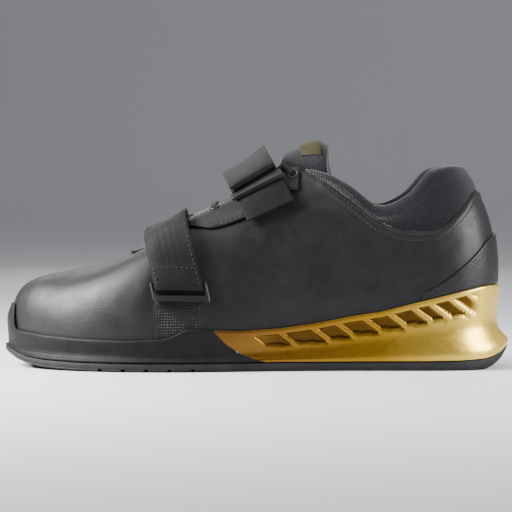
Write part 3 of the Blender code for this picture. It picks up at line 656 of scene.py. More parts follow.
# Collar. A foam-filled cuff in speckled black spacer mesh, sewn inside the leather's edge,
# thin by the throat and full round the ankle, with a rolled topline.
CUFF_PAD = 0.0085
CUFF_FRONT_PAD = 0.0030
CUFF_SKIN = 0.0004
# Shares of the way over the cuff: its outside ends, its inside begins and ends
CUFF_OUTSIDE, CUFF_INSIDE, CUFF_END = 0.38, 0.62, 0.98


def cuff_pad(s):
    return CUFF_FRONT_PAD + (CUFF_PAD - CUFF_FRONT_PAD) * ease((side_place(s) - CUFF_START) / 3)


def cuff_point(u, v):
    """Up the outside, over the rounded top and down the inside of the cuff."""
    s = CUFF_START + u * (RING_ROWS - 2 * CUFF_START)
    pad = cuff_pad(s)
    height = (column(s)[3] - column(s)[0]).length
    start = leather_share(s) - 0.0010 / height
    turn = max(1 - 0.8 * pad / height, start)
    if v < CUFF_OUTSIDE:
        f = v / CUFF_OUTSIDE
        t = start + (turn - start) * f
        swell = 0.0007 * math.sin(math.pi * f) - 0.0006 * (1 - f) ** 4
        front = held((13.5 - side_place(s)) / 1.5)
        below = (1 - t) * height
        swell -= 0.0008 * front * math.exp(-((below - 0.0044) / 0.0008) ** 2)
        return form_point(s, t, -CUFF_SKIN + swell)
    if v < CUFF_INSIDE:
        angle = math.pi * (v - CUFF_OUTSIDE) / (CUFF_INSIDE - CUFF_OUTSIDE)
        t = turn + (1 - turn) * math.sin(angle)
        return form_point(s, t, -pad / 2 + (pad / 2 - CUFF_SKIN) * math.cos(angle))
    f = (v - CUFF_INSIDE) / (CUFF_END - CUFF_INSIDE)
    if f <= 1:
        t = turn + (start - turn) * f
        swell = 0.0008 * math.sin(math.pi * f)
        return form_point(s, t, -pad + CUFF_SKIN - swell)
    return form_point(s, start, -CUFF_SKIN)


def mesh_cloth(name, dark, light, cell):
    """Speckled spacer mesh: a knit of small open cells in two tones of yarn."""
    material = new_finish(name, dark, 0.85)
    yarn = spots(material, 1.6 / cell, 3, 0.8)
    tint(material, yarn, 0.42, 0.66, dark, light)
    knit = cells(material, 1 / cell, "DISTANCE_TO_EDGE", source="UV", random=0.15)
    raise_by(material, knit, 0.0005, 0.9)
    raise_by(material, spots(material, 4 / cell, 2), 0.0002, 0.6)
    shader = shader_of(material)
    shader.inputs["Sheen Weight"].default_value = 0.25
    shader.inputs["Sheen Roughness"].default_value = 0.4
    return material


speckled_mesh = mesh_cloth("speckled_collar_mesh", (0.004, 0.004, 0.005),
                           (0.018, 0.018, 0.022), 0.0011)
bm = close_ends(loft(210, 44, cuff_point, (0.21, 0.07)))
collar = make_piece(bm, "collar_cuff", speckled_mesh, ["collar_padding"],
                    smooth=80)

# Eyestay. A second layer of leather, 1.1 mm thick, round the throat that takes the pull of
# the lace. Its eyelets are punched and set with small black rings.
EYESTAY_EDGE = [(0.0, 0.93), (3.0, 0.88), (5.0, 0.79), (6.4, 0.68), (8.0, 0.68), (9.33, 0.80)]
EYESTAY_WALL = 0.0011
EYESTAY_LIFT = 2 * GAP + EYESTAY_WALL


def eyestay_share(s):
    return float(np.interp(side_place(s), *zip(*EYESTAY_EDGE)))


def eyestay_point(u, v):
    s = EYESTAY_EDGE[-1][0] * (2 * u - 1)
    low = eyestay_share(s)
    return form_point(s, low + (0.995 - low) * v, EYESTAY_LIFT)


eyestay_leather = leather_finish("eyestay_leather", (0.0126, 0.0126, 0.0135), 0.38, 0.45)
bm = face_out(loft(150, 12, eyestay_point, (0.2, 0.02)))
make_piece(bm, "eyestay_overlay", eyestay_leather, ["eyestay"],
           wall=EYESTAY_WALL, rounding=0.0004)
rows = spread_out(-9.1, 9.1, 150)
for inset in (0.0018, 0.0040):
    sew(stitches, form_path(rows, lambda s: eyestay_share(s) + inset / curve_length(s), EYESTAY_LIFT))


def throat_point(row, across, offset=0.0):
    """A point of the arch that spans the throat, across 0 at the outer edge, 1 at the inner."""
    _, _, high_a, top_a = column(row)
    _, _, high_b, top_b = column(-row)
    span = (top_a - top_b).length * 0.42
    a = top_a + (top_a - high_a).normalized() * span
    b = top_b + (top_b - high_b).normalized() * span
    here = curve_point((top_a, a, b, top_b), across)
    return here + throat_normal(row, across) * offset if offset else here


def throat_normal(row, across):
    along = throat_point(row + 0.2, across) - throat_point(row - 0.2, across)
    over = throat_point(row, across + 0.02) - throat_point(row, across - 0.02)
    normal = over.cross(along).normalized()
    return normal if normal.z > 0 else -normal


# Of the way across: the part over each edge beside the throat, and how far down it goes
SIDE_SHARE = 0.3
SIDE_DROP = 0.17


def cover_point(row, across, offset):
    """A point over the throat and the edges beside it, across from -1 (outer) to 1 (inner)."""
    beyond = abs(across) - (1 - SIDE_SHARE)
    if beyond > 0:
        side = row if across < 0 else -row
        return form_point(side, 1 - SIDE_DROP * beyond / SIDE_SHARE, offset)
    return throat_point(row, 0.5 + 0.5 * across / (1 - SIDE_SHARE), offset)


def cover_normal(row, across):
    return (cover_point(row, across, 0.001) - cover_point(row, across, 0)).normalized()


def squared(value, power):
    """A sine or cosine nearer to -1 or 1, for a section with squarer corners."""
    return math.copysign(abs(value) ** power, value)


def strand(points, normals, width, thick, power=1.0, closed=False, around=14, narrow=None):
    """A cord or tape along points, with an oval section that a small power makes square.

    narrow(u) gives its width at a share of its run, as a share of the full width.
    """
    count = len(points)

    def strand_point(u, v):
        i = min(round(u * (count - 1)), count - 1)
        if closed and i == count - 1:
            i = 0
        before = points[i - 1] if closed or i > 0 else points[0]
        after = points[(i + 1) % count] if closed else points[min(i + 1, count - 1)]
        if closed and i == 0:
            before = points[-2]
        side = (after - before).cross(normals[i]).normalized()
        up = side.cross(after - before).normalized()
        if up.dot(normals[i]) < 0:
            up = -up
        angle = 2 * math.pi * v
        a, b = squared(math.cos(angle), power), squared(math.sin(angle), power)
        wide = width * narrow(u) if narrow else width
        return points[i] + side * (wide / 2 * a) + up * (thick / 2 * b)

    return loft(count - 1, around, strand_point, (count * 0.001, width * 3))


def add_part(whole, part):
    """Join one mesh to another."""
    mesh = bpy.data.meshes.new("part")
    part.to_mesh(mesh)
    part.free()
    whole.from_mesh(mesh)


LACE_ROWS = [3.6, 4.9, 6.1, 7.2, 8.2]
LACE_BOW = 1.4
EYELET_ACROSS = 0.83
EYELET_RADIUS = 0.0026
eyelet_ring = new_finish("black_eyelet", (0.02, 0.02, 0.022), 0.35)
raise_by(eyelet_ring, spots(eyelet_ring, 900, 2), 0.0001, 0.4)
# Painted shade: a near-black disc laid in each eyelet stands for the shade inside its hole.
hole_shade_paint = new_finish("painted_eyelet_shade", (0.003, 0.003, 0.003), 0.9)
raise_by(hole_shade_paint, spots(hole_shade_paint, 900, 2), 0.0001)
rings = bmesh.new()
painted_discs = bmesh.new()
for row in LACE_ROWS:
    for side in (-1, 1):
        across = side * EYELET_ACROSS
        ring_row = row + LACE_BOW * across * across
        centre = cover_point(ring_row, across, EYESTAY_LIFT + 0.0001)
        normal = cover_normal(ring_row, across)
        level = normal.cross(UP).normalized()
        steep = normal.cross(level)
        circle = []
        for i in range(21):
            angle = 2 * math.pi * i / 20
            circle.append(centre + (level * math.cos(angle) + steep * math.sin(angle)) * EYELET_RADIUS)
        bm = strand(circle, [normal] * 21, 0.0011, 0.0009, closed=True, around=8)
        bmesh.ops.recalc_face_normals(bm, faces=bm.faces)
        add_part(rings, bm)
        # The painted shade disc in the eyelet's hole.
        bmesh.ops.create_circle(painted_discs, cap_ends=True, segments=20, radius=EYELET_RADIUS,
                                matrix=laid_at(centre + normal * 0.00005, level, steep, normal))
make_piece(rings, "eyelet_rings", eyelet_ring, smooth=80)
bmesh.ops.recalc_face_normals(painted_discs, faces=painted_discs.faces)
make_piece(painted_discs, "eyelet_shade_discs", hole_shade_paint)

# Tongue. Foam between black mesh, bound with a lighter tape round its free end, with a plain
# woven patch at its top. It lies under the throat and stands up behind the instep strap.
TONGUE_PAD = 0.0060
TongueRow = namedtuple("TongueRow", "row width depth pad lift")
TONGUE_ROWS = [TongueRow(*row) for row in (
    (1.6, 0.90, 1.40, 0.5, 0.0), (2.6, 0.94, 1.40, 0.6, 0.0), (4.0, 1.00, 1.35, 0.8, 0.0),
    (6.0, 1.00, 1.35, 1.0, 0.0), (8.0, 1.00, 1.35, 1.0, 0.0), (8.8, 0.95, 1.40, 1.0, 0.7),
    (9.4, 0.85, 2.10, 1.1, 1.05), (9.9, 0.80, 2.20, 1.2, 1.2), (10.1, 0.76, 2.40, 0.9, 1.2),
    (10.2, 0.74, 3.20, 0.4, 1.1),
)]


def tongue_place(row, a, share):
    """A point of the tongue, share 1 on its upper face and 0 on its under face."""
    width = table_value(TONGUE_ROWS, row, "width")
    pad = TONGUE_PAD * table_value(TONGUE_ROWS, row, "pad") * (1 - 0.6 * a * a)
    top = -UPPER_WALL * table_value(TONGUE_ROWS, row, "depth")
    top += TONGUE_PAD * table_value(TONGUE_ROWS, row, "lift") * (1 - (a / width) ** 2) ** 2
    return cover_point(row, a, top - pad * (1 - share))


def tongue_point(u, v):
    row = TONGUE_ROWS[0].row + u * (TONGUE_ROWS[-1].row - TONGUE_ROWS[0].row)
    angle = 2 * math.pi * v
    a = squared(math.cos(angle), 0.6) * table_value(TONGUE_ROWS, row, "width")
    return tongue_place(row, a, 0.5 + 0.5 * squared(math.sin(angle), 0.6))


tongue_mesh = mesh_cloth("tongue_mesh", (0.006, 0.006, 0.007), (0.021, 0.021, 0.024), 0.0014)
bm = close_ends(loft(110, 56, tongue_point, (0.13, 0.12)))
tongue = make_piece(bm, "padded_tongue", tongue_mesh, ["tongue"], smooth=80)

binding_tape = new_finish("grey_binding_tape", (0.051, 0.051, 0.054), 0.6)
raise_by(binding_tape, spots(binding_tape, 1800, 2, stretch=(1, 1, 4)), 0.0002)
# The tape's run up one side, over the free end and down the other: row, across, share
BOUND = 0.985
BOUND_ROWS = spread_out(8.75, 10.08, 26)
run = [(row, -table_value(TONGUE_ROWS, row, "width") * BOUND, 0.62) for row in BOUND_ROWS]
run += [(10.17, a, 0.75) for a in spread_out(-0.72, 0.72, 44)[1:-1]]
run += [(row, table_value(TONGUE_ROWS, row, "width") * BOUND, 0.62) for row in reversed(BOUND_ROWS)]
path = [tongue_place(*spot) for spot in run]
normals = [cover_normal(row, a) for row, a, _ in run]
bm = close_ends(strand(path, normals, 0.0026, 0.0024))
bmesh.ops.smooth_vert(bm, verts=bm.verts, factor=0.5,
                      use_axis_x=True, use_axis_y=True, use_axis_z=True)
make_piece(bm, "tongue_binding", binding_tape, smooth=80)

PATCH_ACROSS = 0.42
PATCH_ROWS = (9.36, 9.98)
PATCH_LIFT = 0.0006


def patch_point(u, v):
    a = PATCH_ACROSS * (2 * u - 1)
    row = PATCH_ROWS[0] + (PATCH_ROWS[1] - PATCH_ROWS[0]) * v
    return tongue_place(row, a, 1.0) + cover_normal(row, a) * PATCH_LIFT


patch_cloth = new_finish("plain_gold_patch", (0.0432, 0.0378, 0.0162), 0.6)
raise_by(patch_cloth, cells(patch_cloth, 1400, source="Object", random=0.2), 0.0003)
tint(patch_cloth, spots(patch_cloth, 900, 3), 0.3, 0.7,
     (0.0173, 0.0154, 0.0065), (0.0385, 0.0339, 0.0146))
bm = face_out(loft(24, 10, patch_point), 0.08)
make_piece(bm, "tongue_patch", patch_cloth, wall=0.0005, rounding=0.0002)

# Lace. Flat woven black polyester, 5 mm wide, laid in straight bars over the tongue. Each
# bar goes down through an eyelet on both sides, and the runs between bars are out of sight.
LACE_WIDTH = 0.0050
LACE_THICK = 0.0013
lace_cloth = new_finish("woven_lace", (0.0154, 0.0154, 0.0161), 0.75)
raise_by(lace_cloth, cells(lace_cloth, 1300, source="UV", random=0.1), 0.0004)
tint(lace_cloth, spots(lace_cloth, 1500, 2), 0.35, 0.7,
     (0.0084, 0.0084, 0.0091), (0.035, 0.035, 0.0364))
# share of the way to the eyelet, height over the form in mm
LACE_HEIGHTS = [(0.0, -1.1), (0.55, -0.9), (0.78, 1.7),
                (0.88, 2.3), (0.95, 2.0), (1.0, 0.9), (1.05, -1.2)]
laces = bmesh.new()
for row in LACE_ROWS:
    path = []
    normals = []
    for share in spread_out(-1.05, 1.05, 71):
        across = share * EYELET_ACROSS
        lift = float(np.interp(abs(share), *zip(*LACE_HEIGHTS))) / 1000
        ring_row = row + LACE_BOW * across * across
        path.append(cover_point(ring_row, across, lift))
        normals.append(cover_normal(ring_row, across))
    bm = close_ends(strand(path, normals, LACE_WIDTH, LACE_THICK, 0.6,
                           narrow=lambda u: 0.55 + 0.45 * min(min(u, 1 - u) / 0.16, 1)))
    add_part(laces, bm)
make_piece(laces, "lace_bars", lace_cloth, ["laces"], smooth=80)

# Insole. A loose footbed of black foam under brushed cloth, cut to the inside of the upper.
insole_cloth = new_finish("insole_cloth", (0.02, 0.02, 0.022), 0.95)
raise_by(insole_cloth, cells(insole_cloth, 900, "DISTANCE_TO_EDGE", random=0.6), 0.0004)
tint(insole_cloth, spots(insole_cloth, 800, 3), 0.35, 0.7,
     (0.012, 0.012, 0.014), (0.045, 0.045, 0.05))


def node_copy(name):
    """A CAD node's mesh as a bmesh, with its loose triangles merged and joined to quads."""
    bm = bmesh.new()
    bm.from_mesh(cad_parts[name].data)
    bmesh.ops.remove_doubles(bm, verts=bm.verts, dist=0.00002)
    bmesh.ops.join_triangles(bm, faces=bm.faces, angle_face_threshold=math.radians(12),
                             angle_shape_threshold=math.radians(50))
    bmesh.ops.recalc_face_normals(bm, faces=bm.faces)
    return bm


insole = make_piece(node_copy("insole"), "footbed", insole_cloth, ["insole"],
                    rounding=0.0010)

# Outsole. A full-length tread of dark grey rubber, pressed with a fine texture along its
# side, with flex grooves under the forefoot, bevelled up at the heel and sprung at the toe.
TREAD = 0.0050
LIP_WALL = 0.0024
BUMPER_TAPER = 0.6
TOE_FLARE = 0.0018
SIDE_FLARE = 0.0016
HEEL_FLARE = 0.0060
TREAD_INSET = 0.012      # from the edge to the flat underside
TREAD_CORNER = 0.0016
TREAD_ROUND = 0.0012
TREAD_STEP = 0.0004
TREAD_SWELL = 0.00035
GROOVES = [0.620, 0.665, 0.710, 0.755, 0.800]       # places on the length
GROOVE_WIDTH = 0.0022
GROOVE_DEPTH = 0.0013
GROOVE_EDGE = 0.00005
EdgeRow = namedtuple("EdgeRow", "along ground seam")
EDGE_ROWS = [EdgeRow(*row) for row in (
    (-0.010, 2.60, 2.95), (0.000, 2.20, 2.60), (0.016, 1.05, 1.90), (0.033, 0.35, 1.50),
    (0.048, 0.00, 1.28), (0.065, 0.00, 1.20), (0.096, 0.00, 1.10), (0.175, 0.00, 1.04),
    (0.254, 0.00, 1.02), (0.313, 0.00, 1.00), (0.743, 0.00, 1.00), (0.842, 0.04, 1.02),
    (0.914, 0.20, 1.14), (0.952, 0.55, 1.42), (0.973, 0.95, 1.85), (1.000, 1.80, 2.40),
)]


def edge_height(x, column_name):
    """Underside or top of the tread at a place on the length."""
    return TREAD * table_value(EDGE_ROWS, along_shoe(x), column_name)


def flare(s):
    """How far the sole's foot stands out beyond its lip."""
    row = side_place(s)
    if row < 3:
        return SIDE_FLARE + (TOE_FLARE - SIDE_FLARE) * (1 - row / 3)
    return SIDE_FLARE + (HEEL_FLARE - SIDE_FLARE) * ease((row - 12) / (SIDE_ROWS - 12))


@lru_cache(maxsize=None)
def outward(s):
    level = form_normal(s, 0.02)
    return Vector((level.x, level.y, 0)).normalized()


def foot_point(s, offset, height):
    """A point beside the feather line, at a level distance and a height."""
    base = column(s)[0] + outward(s) * offset
    return Vector((base.x, base.y, height))


def tread_point(u, v):
    """From under the sole round its edge to the seam with the midsole."""
    s = u * RING_ROWS
    wide = GAP + LIP_WALL + flare(s)
    edge = foot_point(s, wide, 0)
    ground, seam = edge_height(edge.x, "ground"), edge_height(edge.x, "seam") - 0.0002
    way = v * 6
    if way < 1:
        inset = foot_point(s, wide - TREAD_INSET + (TREAD_INSET - TREAD_CORNER) * way, 0)
        return Vector((inset.x, inset.y, edge_height(inset.x, "ground")))
    if way < 2:
        turn = (way - 1) * math.pi / 2
        inset = foot_point(s, wide - TREAD_CORNER * (1 - math.sin(turn)), 0)
        return Vector((inset.x, inset.y, ground + TREAD_ROUND * (1 - math.cos(turn))))
    if way < 5:
        f = (way - 2) / 3
        swell = TREAD_SWELL * math.sin(f * math.pi) ** 0.5
        side = foot_point(s, wide - TREAD_STEP + swell, 0)
        high = seam - ground - TREAD_ROUND - TREAD_STEP
        return Vector((side.x, side.y, ground + TREAD_ROUND + high * f))
    inset = foot_point(s, wide - TREAD_STEP - 0.006 * (way - 5), 0)
    return Vector((inset.x, inset.y, seam - 0.0002 * (6 - way)))


outsole_rubber = new_finish("grey_tread_rubber", (0.0213, 0.0213, 0.022), 0.6)
tint(outsole_rubber, spots(outsole_rubber, 90, 5), 0.3, 0.75,
     (0.0163, 0.0163, 0.017), (0.0288, 0.0288, 0.03))
vary_gloss(outsole_rubber, spots(outsole_rubber, 220, 3), 0.52, 0.7)
raise_by(outsole_rubber, spots(outsole_rubber, 1400, 3), 0.0002, 0.6)
bm = loft(306, 30, tread_point, (0.7, 0.03))
bmesh.ops.holes_fill(bm, edges=[edge for edge in bm.edges if edge.is_boundary], sides=0)
bmesh.ops.recalc_face_normals(bm, faces=bm.faces)
for along in GROOVES:
    middle = place(along)
    roof = edge_height(middle, "ground") + GROOVE_DEPTH
    half = GROOVE_WIDTH / 2
    for away in (-half, -half + GROOVE_EDGE, half - GROOVE_EDGE, half):
        bmesh.ops.bisect_plane(bm, geom=bm.verts[:] + bm.edges[:] + bm.faces[:],
                               plane_co=(middle + away, 0, 0), plane_no=(1, 0, 0))
    for vert in bm.verts:
        if abs(vert.co.x - middle) < half - GROOVE_EDGE / 2:
            vert.co.z = max(vert.co.z, roof)
bmesh.ops.triangulate(bm, faces=[face for face in bm.faces if len(face.verts) > 4])
make_piece(bm, "tread", outsole_rubber, ["outsole"], smooth=50)

# Forefoot midsole. Black rubber moulded with its rand and the toe bumper in one piece,
# fine-grained on the side.
WAIST_SHARE = 0.75
WAIST_MIN = 0.0015
LIP_ROUND = 0.0008
WALL_STEP = 0.05         # ring rows between the worked-out sections of the wall
# Joint with the heel wedge: share of the wall's height, place on the length
SPLIT_ROWS = [(-0.40, 0.440), (0.03, 0.483), (0.14, 0.507),
              (0.28, 0.530), (0.60, 0.558), (0.95, 0.580), (1.30, 0.590)]


@lru_cache(maxsize=None)
def wall_knots(number):
    """Points of the wall's section at a ring place: five up its outside, then over its lip."""
    s = number * WALL_STEP
    lip = GAP + LIP_WALL
    wide = lip + flare(s)
    base = foot_point(s, wide, 0)
    seam = edge_height(base.x, "seam") + GAP
    waist = max((column(s)[0].z - GAP) * WAIST_SHARE, seam + WAIST_MIN)
    t_top = share_at(s, wall_top(s))
    edge = LIP_WALL * (1 - BUMPER_TAPER * bumper_share(s))
    turn_in = LIP_ROUND / curve_length(s)
    knots = [foot_point(s, wide, seam), foot_point(s, wide * 0.99, seam + 0.3 * (waist - seam)),
             foot_point(s, lip, waist), form_point(s, t_top * 0.55, lip),
             form_point(s, t_top - turn_in, GAP + edge)]
    for turn in (0.7, 1.6, 2.4, math.pi):
        t = t_top - turn_in * (1 - math.sin(turn))
        knots.append(form_point(s, t, GAP + edge / 2 + edge / 2 * math.cos(turn)))
    knots.append(form_point(s, t_top * 0.25, 1.2 * GAP))
    return knots


def wall_section(number, way):
    """A point of one section: way 0 to 1 up its outside, 1 to 2 over and down its lip."""
    knots = wall_knots(number)
    if way >= 1:
        place_on = 4 + (way - 1) * 5
        i = min(int(place_on), 8)
        return knots[i].lerp(knots[i + 1], place_on - i)
    i = min(int(way * 4), 3)
    f = way * 4 - i
    p1, p2 = knots[i], knots[i + 1]
    p0 = knots[i - 1] if i > 0 else p1 * 2 - p2
    p3 = knots[i + 2] if i < 3 else p2 * 2 - p1
    return between(p0, p1, p2, p3, f)


def wall_side(s, way):
    """A point of the sole's wall at a ring place, between the two sections beside it."""
    place_on = (s % RING_ROWS) / WALL_STEP
    number = int(place_on)
    sections = round(RING_ROWS / WALL_STEP)
    after = wall_section((number + 1) % sections, way)
    return wall_section(number, way).lerp(after, place_on - number)


def split_x(height_share):
    """X of the joint between wedge and forefoot at a share of the wall's height."""
    return place(float(np.interp(height_share, *zip(*SPLIT_ROWS))))


def split_row(way, side, shift):
    """Ring place at which the wall meets the joint, for one height of the wall."""
    def ahead(row):
        point = wall_side(row * side % RING_ROWS, way)
        seam = edge_height(point.x, "seam")
        return point.x + shift > split_x((point.z - seam) / (wall_height(point.x) - seam))

    return last_place(4.0, 10.5, ahead, 22)


def wall_ways(rows):
    """Heights of the wall's rows: most of them on the outside, the rest over the lip."""
    outside = rows * 2 // 3
    return ([i / outside for i in range(outside)]
            + [1 + (i / (rows - outside)) for i in range(rows - outside + 1)])


def make_wall(columns, rows, shift, behind):
    """The sole's wall ahead of the joint or behind it, as one loft."""
    ways = wall_ways(rows)
    ends = []
    for way in ways:
        outer, inner = split_row(way, 1, shift), RING_ROWS - split_row(way, -1, shift)
        ends.append((outer, inner) if behind else (inner - RING_ROWS, outer))

    def wall_point(u, v):
        i = round(v * rows)
        first, last = ends[i]
        return wall_side((first + (last - first) * u) % RING_ROWS, ways[i])

    return loft(columns, rows, wall_point, (0.4, 0.08))


rand_rubber = new_finish("black_rand_rubber", (0.0075, 0.0075, 0.008), 0.55)
tint(rand_rubber, spots(rand_rubber, 110, 5), 0.3, 0.75,
     (0.0055, 0.0055, 0.006), (0.0105, 0.0105, 0.0112))
vary_gloss(rand_rubber, spots(rand_rubber, 260, 3), 0.48, 0.62)
raise_by(rand_rubber, cells(rand_rubber, 1200), 0.00025, 0.5)
bm = face_out(make_wall(240, 36, -0.0001, False))
press_folds(bm, [Fold(0, 1.2, -0.35, [(291, 14.5), (280, 12), (262, 10.6), (236, 10), (206, 10)]),
                 Fold(0, 2.2, 0.35, [(291, 20), (276, 18), (252, 16.6), (224, 15.8), (204, 17)])])
make_piece(bm, "rand_and_bumper", rand_rubber, ["forefoot_midsole"],
           wall=0.0004, smooth=60)

# Heel wedge. A hard moulded lift painted metallic gold, with a cup lip round the upper and
# slanted ribs between pockets on both sides. Its colour is painted pale at the heel and dark
# towards the arch: a painted highlight at the heel and painted shade ahead of it.
gold_paint = new_finish("metallic_gold_paint", (0.62, 0.42, 0.13), 0.32, 0.8)
# Painted highlight and shade: the base colour runs from pale gold at the heel to dark brown towards
# the arch.
place_node = add_node(gold_paint, "ShaderNodeTexCoord")
split = add_node(gold_paint, "ShaderNodeSeparateXYZ", Vector=place_node.outputs["Object"])
painted_shade_share = add_node(gold_paint, "ShaderNodeMapRange", Value=split.outputs["X"],
                From_Min=-0.04, From_Max=0.13)
ramp = add_node(gold_paint, "ShaderNodeValToRGB", Fac=painted_shade_share.outputs["Result"])
ramp.color_ramp.elements[0].color = (0.85, 0.60, 0.10, 1)
ramp.color_ramp.elements[1].color = (0.15, 0.065, 0.012, 1)
middle = ramp.color_ramp.elements.new(0.45)
middle.color = (0.30, 0.16, 0.008, 1)
# Painted shade: each pocket's colour is mixed towards near-black brown by its depth.
pocket_shade_of = add_node(gold_paint, "ShaderNodeAttribute", {"attribute_name": "pocket_painted_shade"})
pocket_shade_mix = add_node(gold_paint, "ShaderNodeMix", {"data_type": "RGBA"})
gold_paint.node_tree.links.new(pocket_shade_of.outputs["Fac"], pocket_shade_mix.inputs[0])
gold_paint.node_tree.links.new(ramp.outputs["Color"], pocket_shade_mix.inputs[6])
pocket_shade_mix.inputs[7].default_value = (0.08, 0.035, 0.001, 1)
gold_shader = shader_of(gold_paint)
gold_paint.node_tree.links.new(pocket_shade_mix.outputs[2], gold_shader.inputs["Base Color"])
vary_gloss(gold_paint, spots(gold_paint, 300, 3), 0.27, 0.38)
raise_by(gold_paint, spots(gold_paint, 2500, 2), 0.00006, 0.5)
gold_shader.inputs["Coat Weight"].default_value = 0.05
gold_shader.inputs["Coat Roughness"].default_value = 0.2

# Slanted ribs. across: place of a rib square to its run, foot: height of the floor edge of
# the pocket behind it, both in millimetres
RIB_TURN = math.radians(36)
Rib = namedtuple("Rib", "across foot")
RIBS = [Rib(*row) for row in (
    (-74, 14.0), (-62, 14.6), (-48.7, 16.0), (-38.2, 18.2), (-26.5, 21.0), (-15.8, 23.8),
    (-4.9, 26.6), (2.9, 29.2), (12.2, 31.0), (20.5, 33.0), (28, 35),
)]
RIB_HALF = 1.0
POCKET_DEPTH = 1.7
LIP_BAND = 3.2


def pocket_depth(x, z):
    """Depth in millimetres of the pockets in the wedge's side, 0 on its ribs and lip."""
    d = (x + HEEL_BEHIND) * 1000
    height = z * 1000
    across = -math.sin(RIB_TURN) * d + math.cos(RIB_TURN) * height
    lip = wall_height(x) * 1000 - LIP_BAND
    inside = ease((lip - height) / 0.9)
    rib = 1.0
    foot = 200.0
    for this, following in zip(RIBS, RIBS[1:]):
        if this.across <= across < following.across:
            rib = min(ease((across - this.across - RIB_HALF) / 0.8),
                      ease((following.across - RIB_HALF - across) / 0.8))
            foot = following.foot
    above = ease((height - foot) / 0.9)
    fade = ease((166 - d) / 34) * ease((d - 17) / 8)
    return POCKET_DEPTH * inside * rib * above * fade


bm = face_out(make_wall(700, 62, 0.0001, True))
bm.normal_update()
# Each vertex keeps its share of the pockets' depth, which paints shade into their colour.
pocket_painted_shade = bm.verts.layers.float.new("pocket_painted_shade")
for vert in bm.verts:
    if abs(vert.normal.y) > 0.3 and vert.co.z < wall_height(vert.co.x) - 0.002:
        if vert.normal.y * vert.co.y > 0:
            depth = pocket_depth(vert.co.x, vert.co.z)
            vert[pocket_painted_shade] = depth / POCKET_DEPTH
            vert.co.y -= math.copysign(depth / 1000, vert.co.y)
make_piece(bm, "gold_wedge", gold_paint, ["heel_wedge"], wall=0.0004, smooth=60)

# Straps. Each is a band of two layers of black webbing faced with loop pile, led through a
# plastic loop on the outer side and folded back over itself.
StrapPlane = namedtuple("StrapPlane", "along height slope lean width")
FRONT_STRAP = StrapPlane(0.635, 0.034, 0.0, math.radians(14), 0.0280)
INSTEP_STRAP = StrapPlane(0.434, 0.074, math.radians(30), math.radians(29), 0.0300)
STRAP_CENTRE = -0.004
# Ends of each layer in degrees round the shoe, from the outer side over the top
FRONT_ENDS, FRONT_BACK_ENDS = (15, 186), (14.2, 138)
INSTEP_ENDS, INSTEP_BACK_ENDS = (60, 198), (59.5, 140)
ANCHOR_ENDS = (32, 56)
# Share of the lower layer's run that the folded-back layer covers
FRONT_BACK_SHARE, INSTEP_BACK_SHARE = 0.72, 0.58
# Shares of a strap's run between which it climbs onto the eyestay, and comes down again
FRONT_RISE, FRONT_FALL = (0.10, 0.24), (0.66, 0.80)
INSTEP_RISE, INSTEP_FALL = (0.0, 0.25), (0.52, 0.76)
FRONT_LAYER, FRONT_BACK_LAYER = 0.0020, 0.0019
INSTEP_LAYER, INSTEP_BACK_LAYER = 0.0034, 0.0042
INSTEP_LIFT = 0.0040
ANCHOR_WALL = 0.0022
SEWN_ACROSS = 0.43
STRAP_SEAT = 4 * GAP + EYESTAY_WALL
STRAP_OVER = STRAP_SEAT + 0.0008 + 0.0014 + GAP

bm = bmesh.new()
for grid in (loft(204, 24, lambda u, v: form_point(u * RING_ROWS, v)),
             loft(60, 16, lambda u, v: throat_point(0.05 + u * (THROAT_ROWS + 0.85), v))):
    add_part(bm, grid)
bm.normal_update()
form_tree = BVHTree.FromBMesh(bm)
bm.free()


def strap_point(plane, angle, share, lift):
    """A point over the form at an angle in degrees round the shoe and a share of the width."""
    run = Vector((math.cos(plane.slope), 0, -math.sin(plane.slope)))
    rise = Vector((math.sin(plane.lean), 0, math.cos(plane.lean)))
    turn = math.radians(angle)
    ray = rise * math.sin(turn) + Vector((0, 1, 0)) * math.cos(turn)
    start = Vector((place(plane.along), STRAP_CENTRE, plane.height)) + run * share * plane.width
    hit = form_tree.ray_cast(start, ray)[0]
    return hit + ray * lift


def arched(first, middle, last, rise, fall):
    """A distance along a band: first and last on the leather, middle over the laces."""
    spans = (0, rise[0], rise[1], fall[0], fall[1], 1)
    return lambda f: float(np.interp(f, spans, (first, first, middle, middle, last, last)))


def strap_layer(plane, ends, low, thick, width=1.0, columns=70, round_end=0.0):
    """A band with a rounded section, between two angles, low(f) over the form."""
    def layer_point(u, v):
        angle = ends[0] + (ends[1] - ends[0]) * u
        turn = 2 * math.pi * v
        a = squared(math.cos(turn), 0.35) * width / 2
        b = 0.5 + 0.5 * squared(math.sin(turn), 0.45)
        near = min(u, 1 - u) * columns
        if near < 2 and round_end:
            b = 0.5 + (b - 0.5) * (1 - round_end * (1 - near / 2) ** 2)
        return strap_point(plane, angle, a, low(u) + thick * b)
    return close_ends(loft(columns, 40, layer_point, (0.12, 0.066)))


def strap_path(plane, ends, share, lift, count=60):
    """Points and normals along a strap at a share of its width, lift(angle) over the form."""
    path = []
    for angle in spread_out(ends[0], ends[1], count):
        here = strap_point(plane, angle, share, lift(angle))
        above = strap_point(plane, angle, share, lift(angle) + 0.001)
        path.append((here, (above - here).normalized()))
    return path


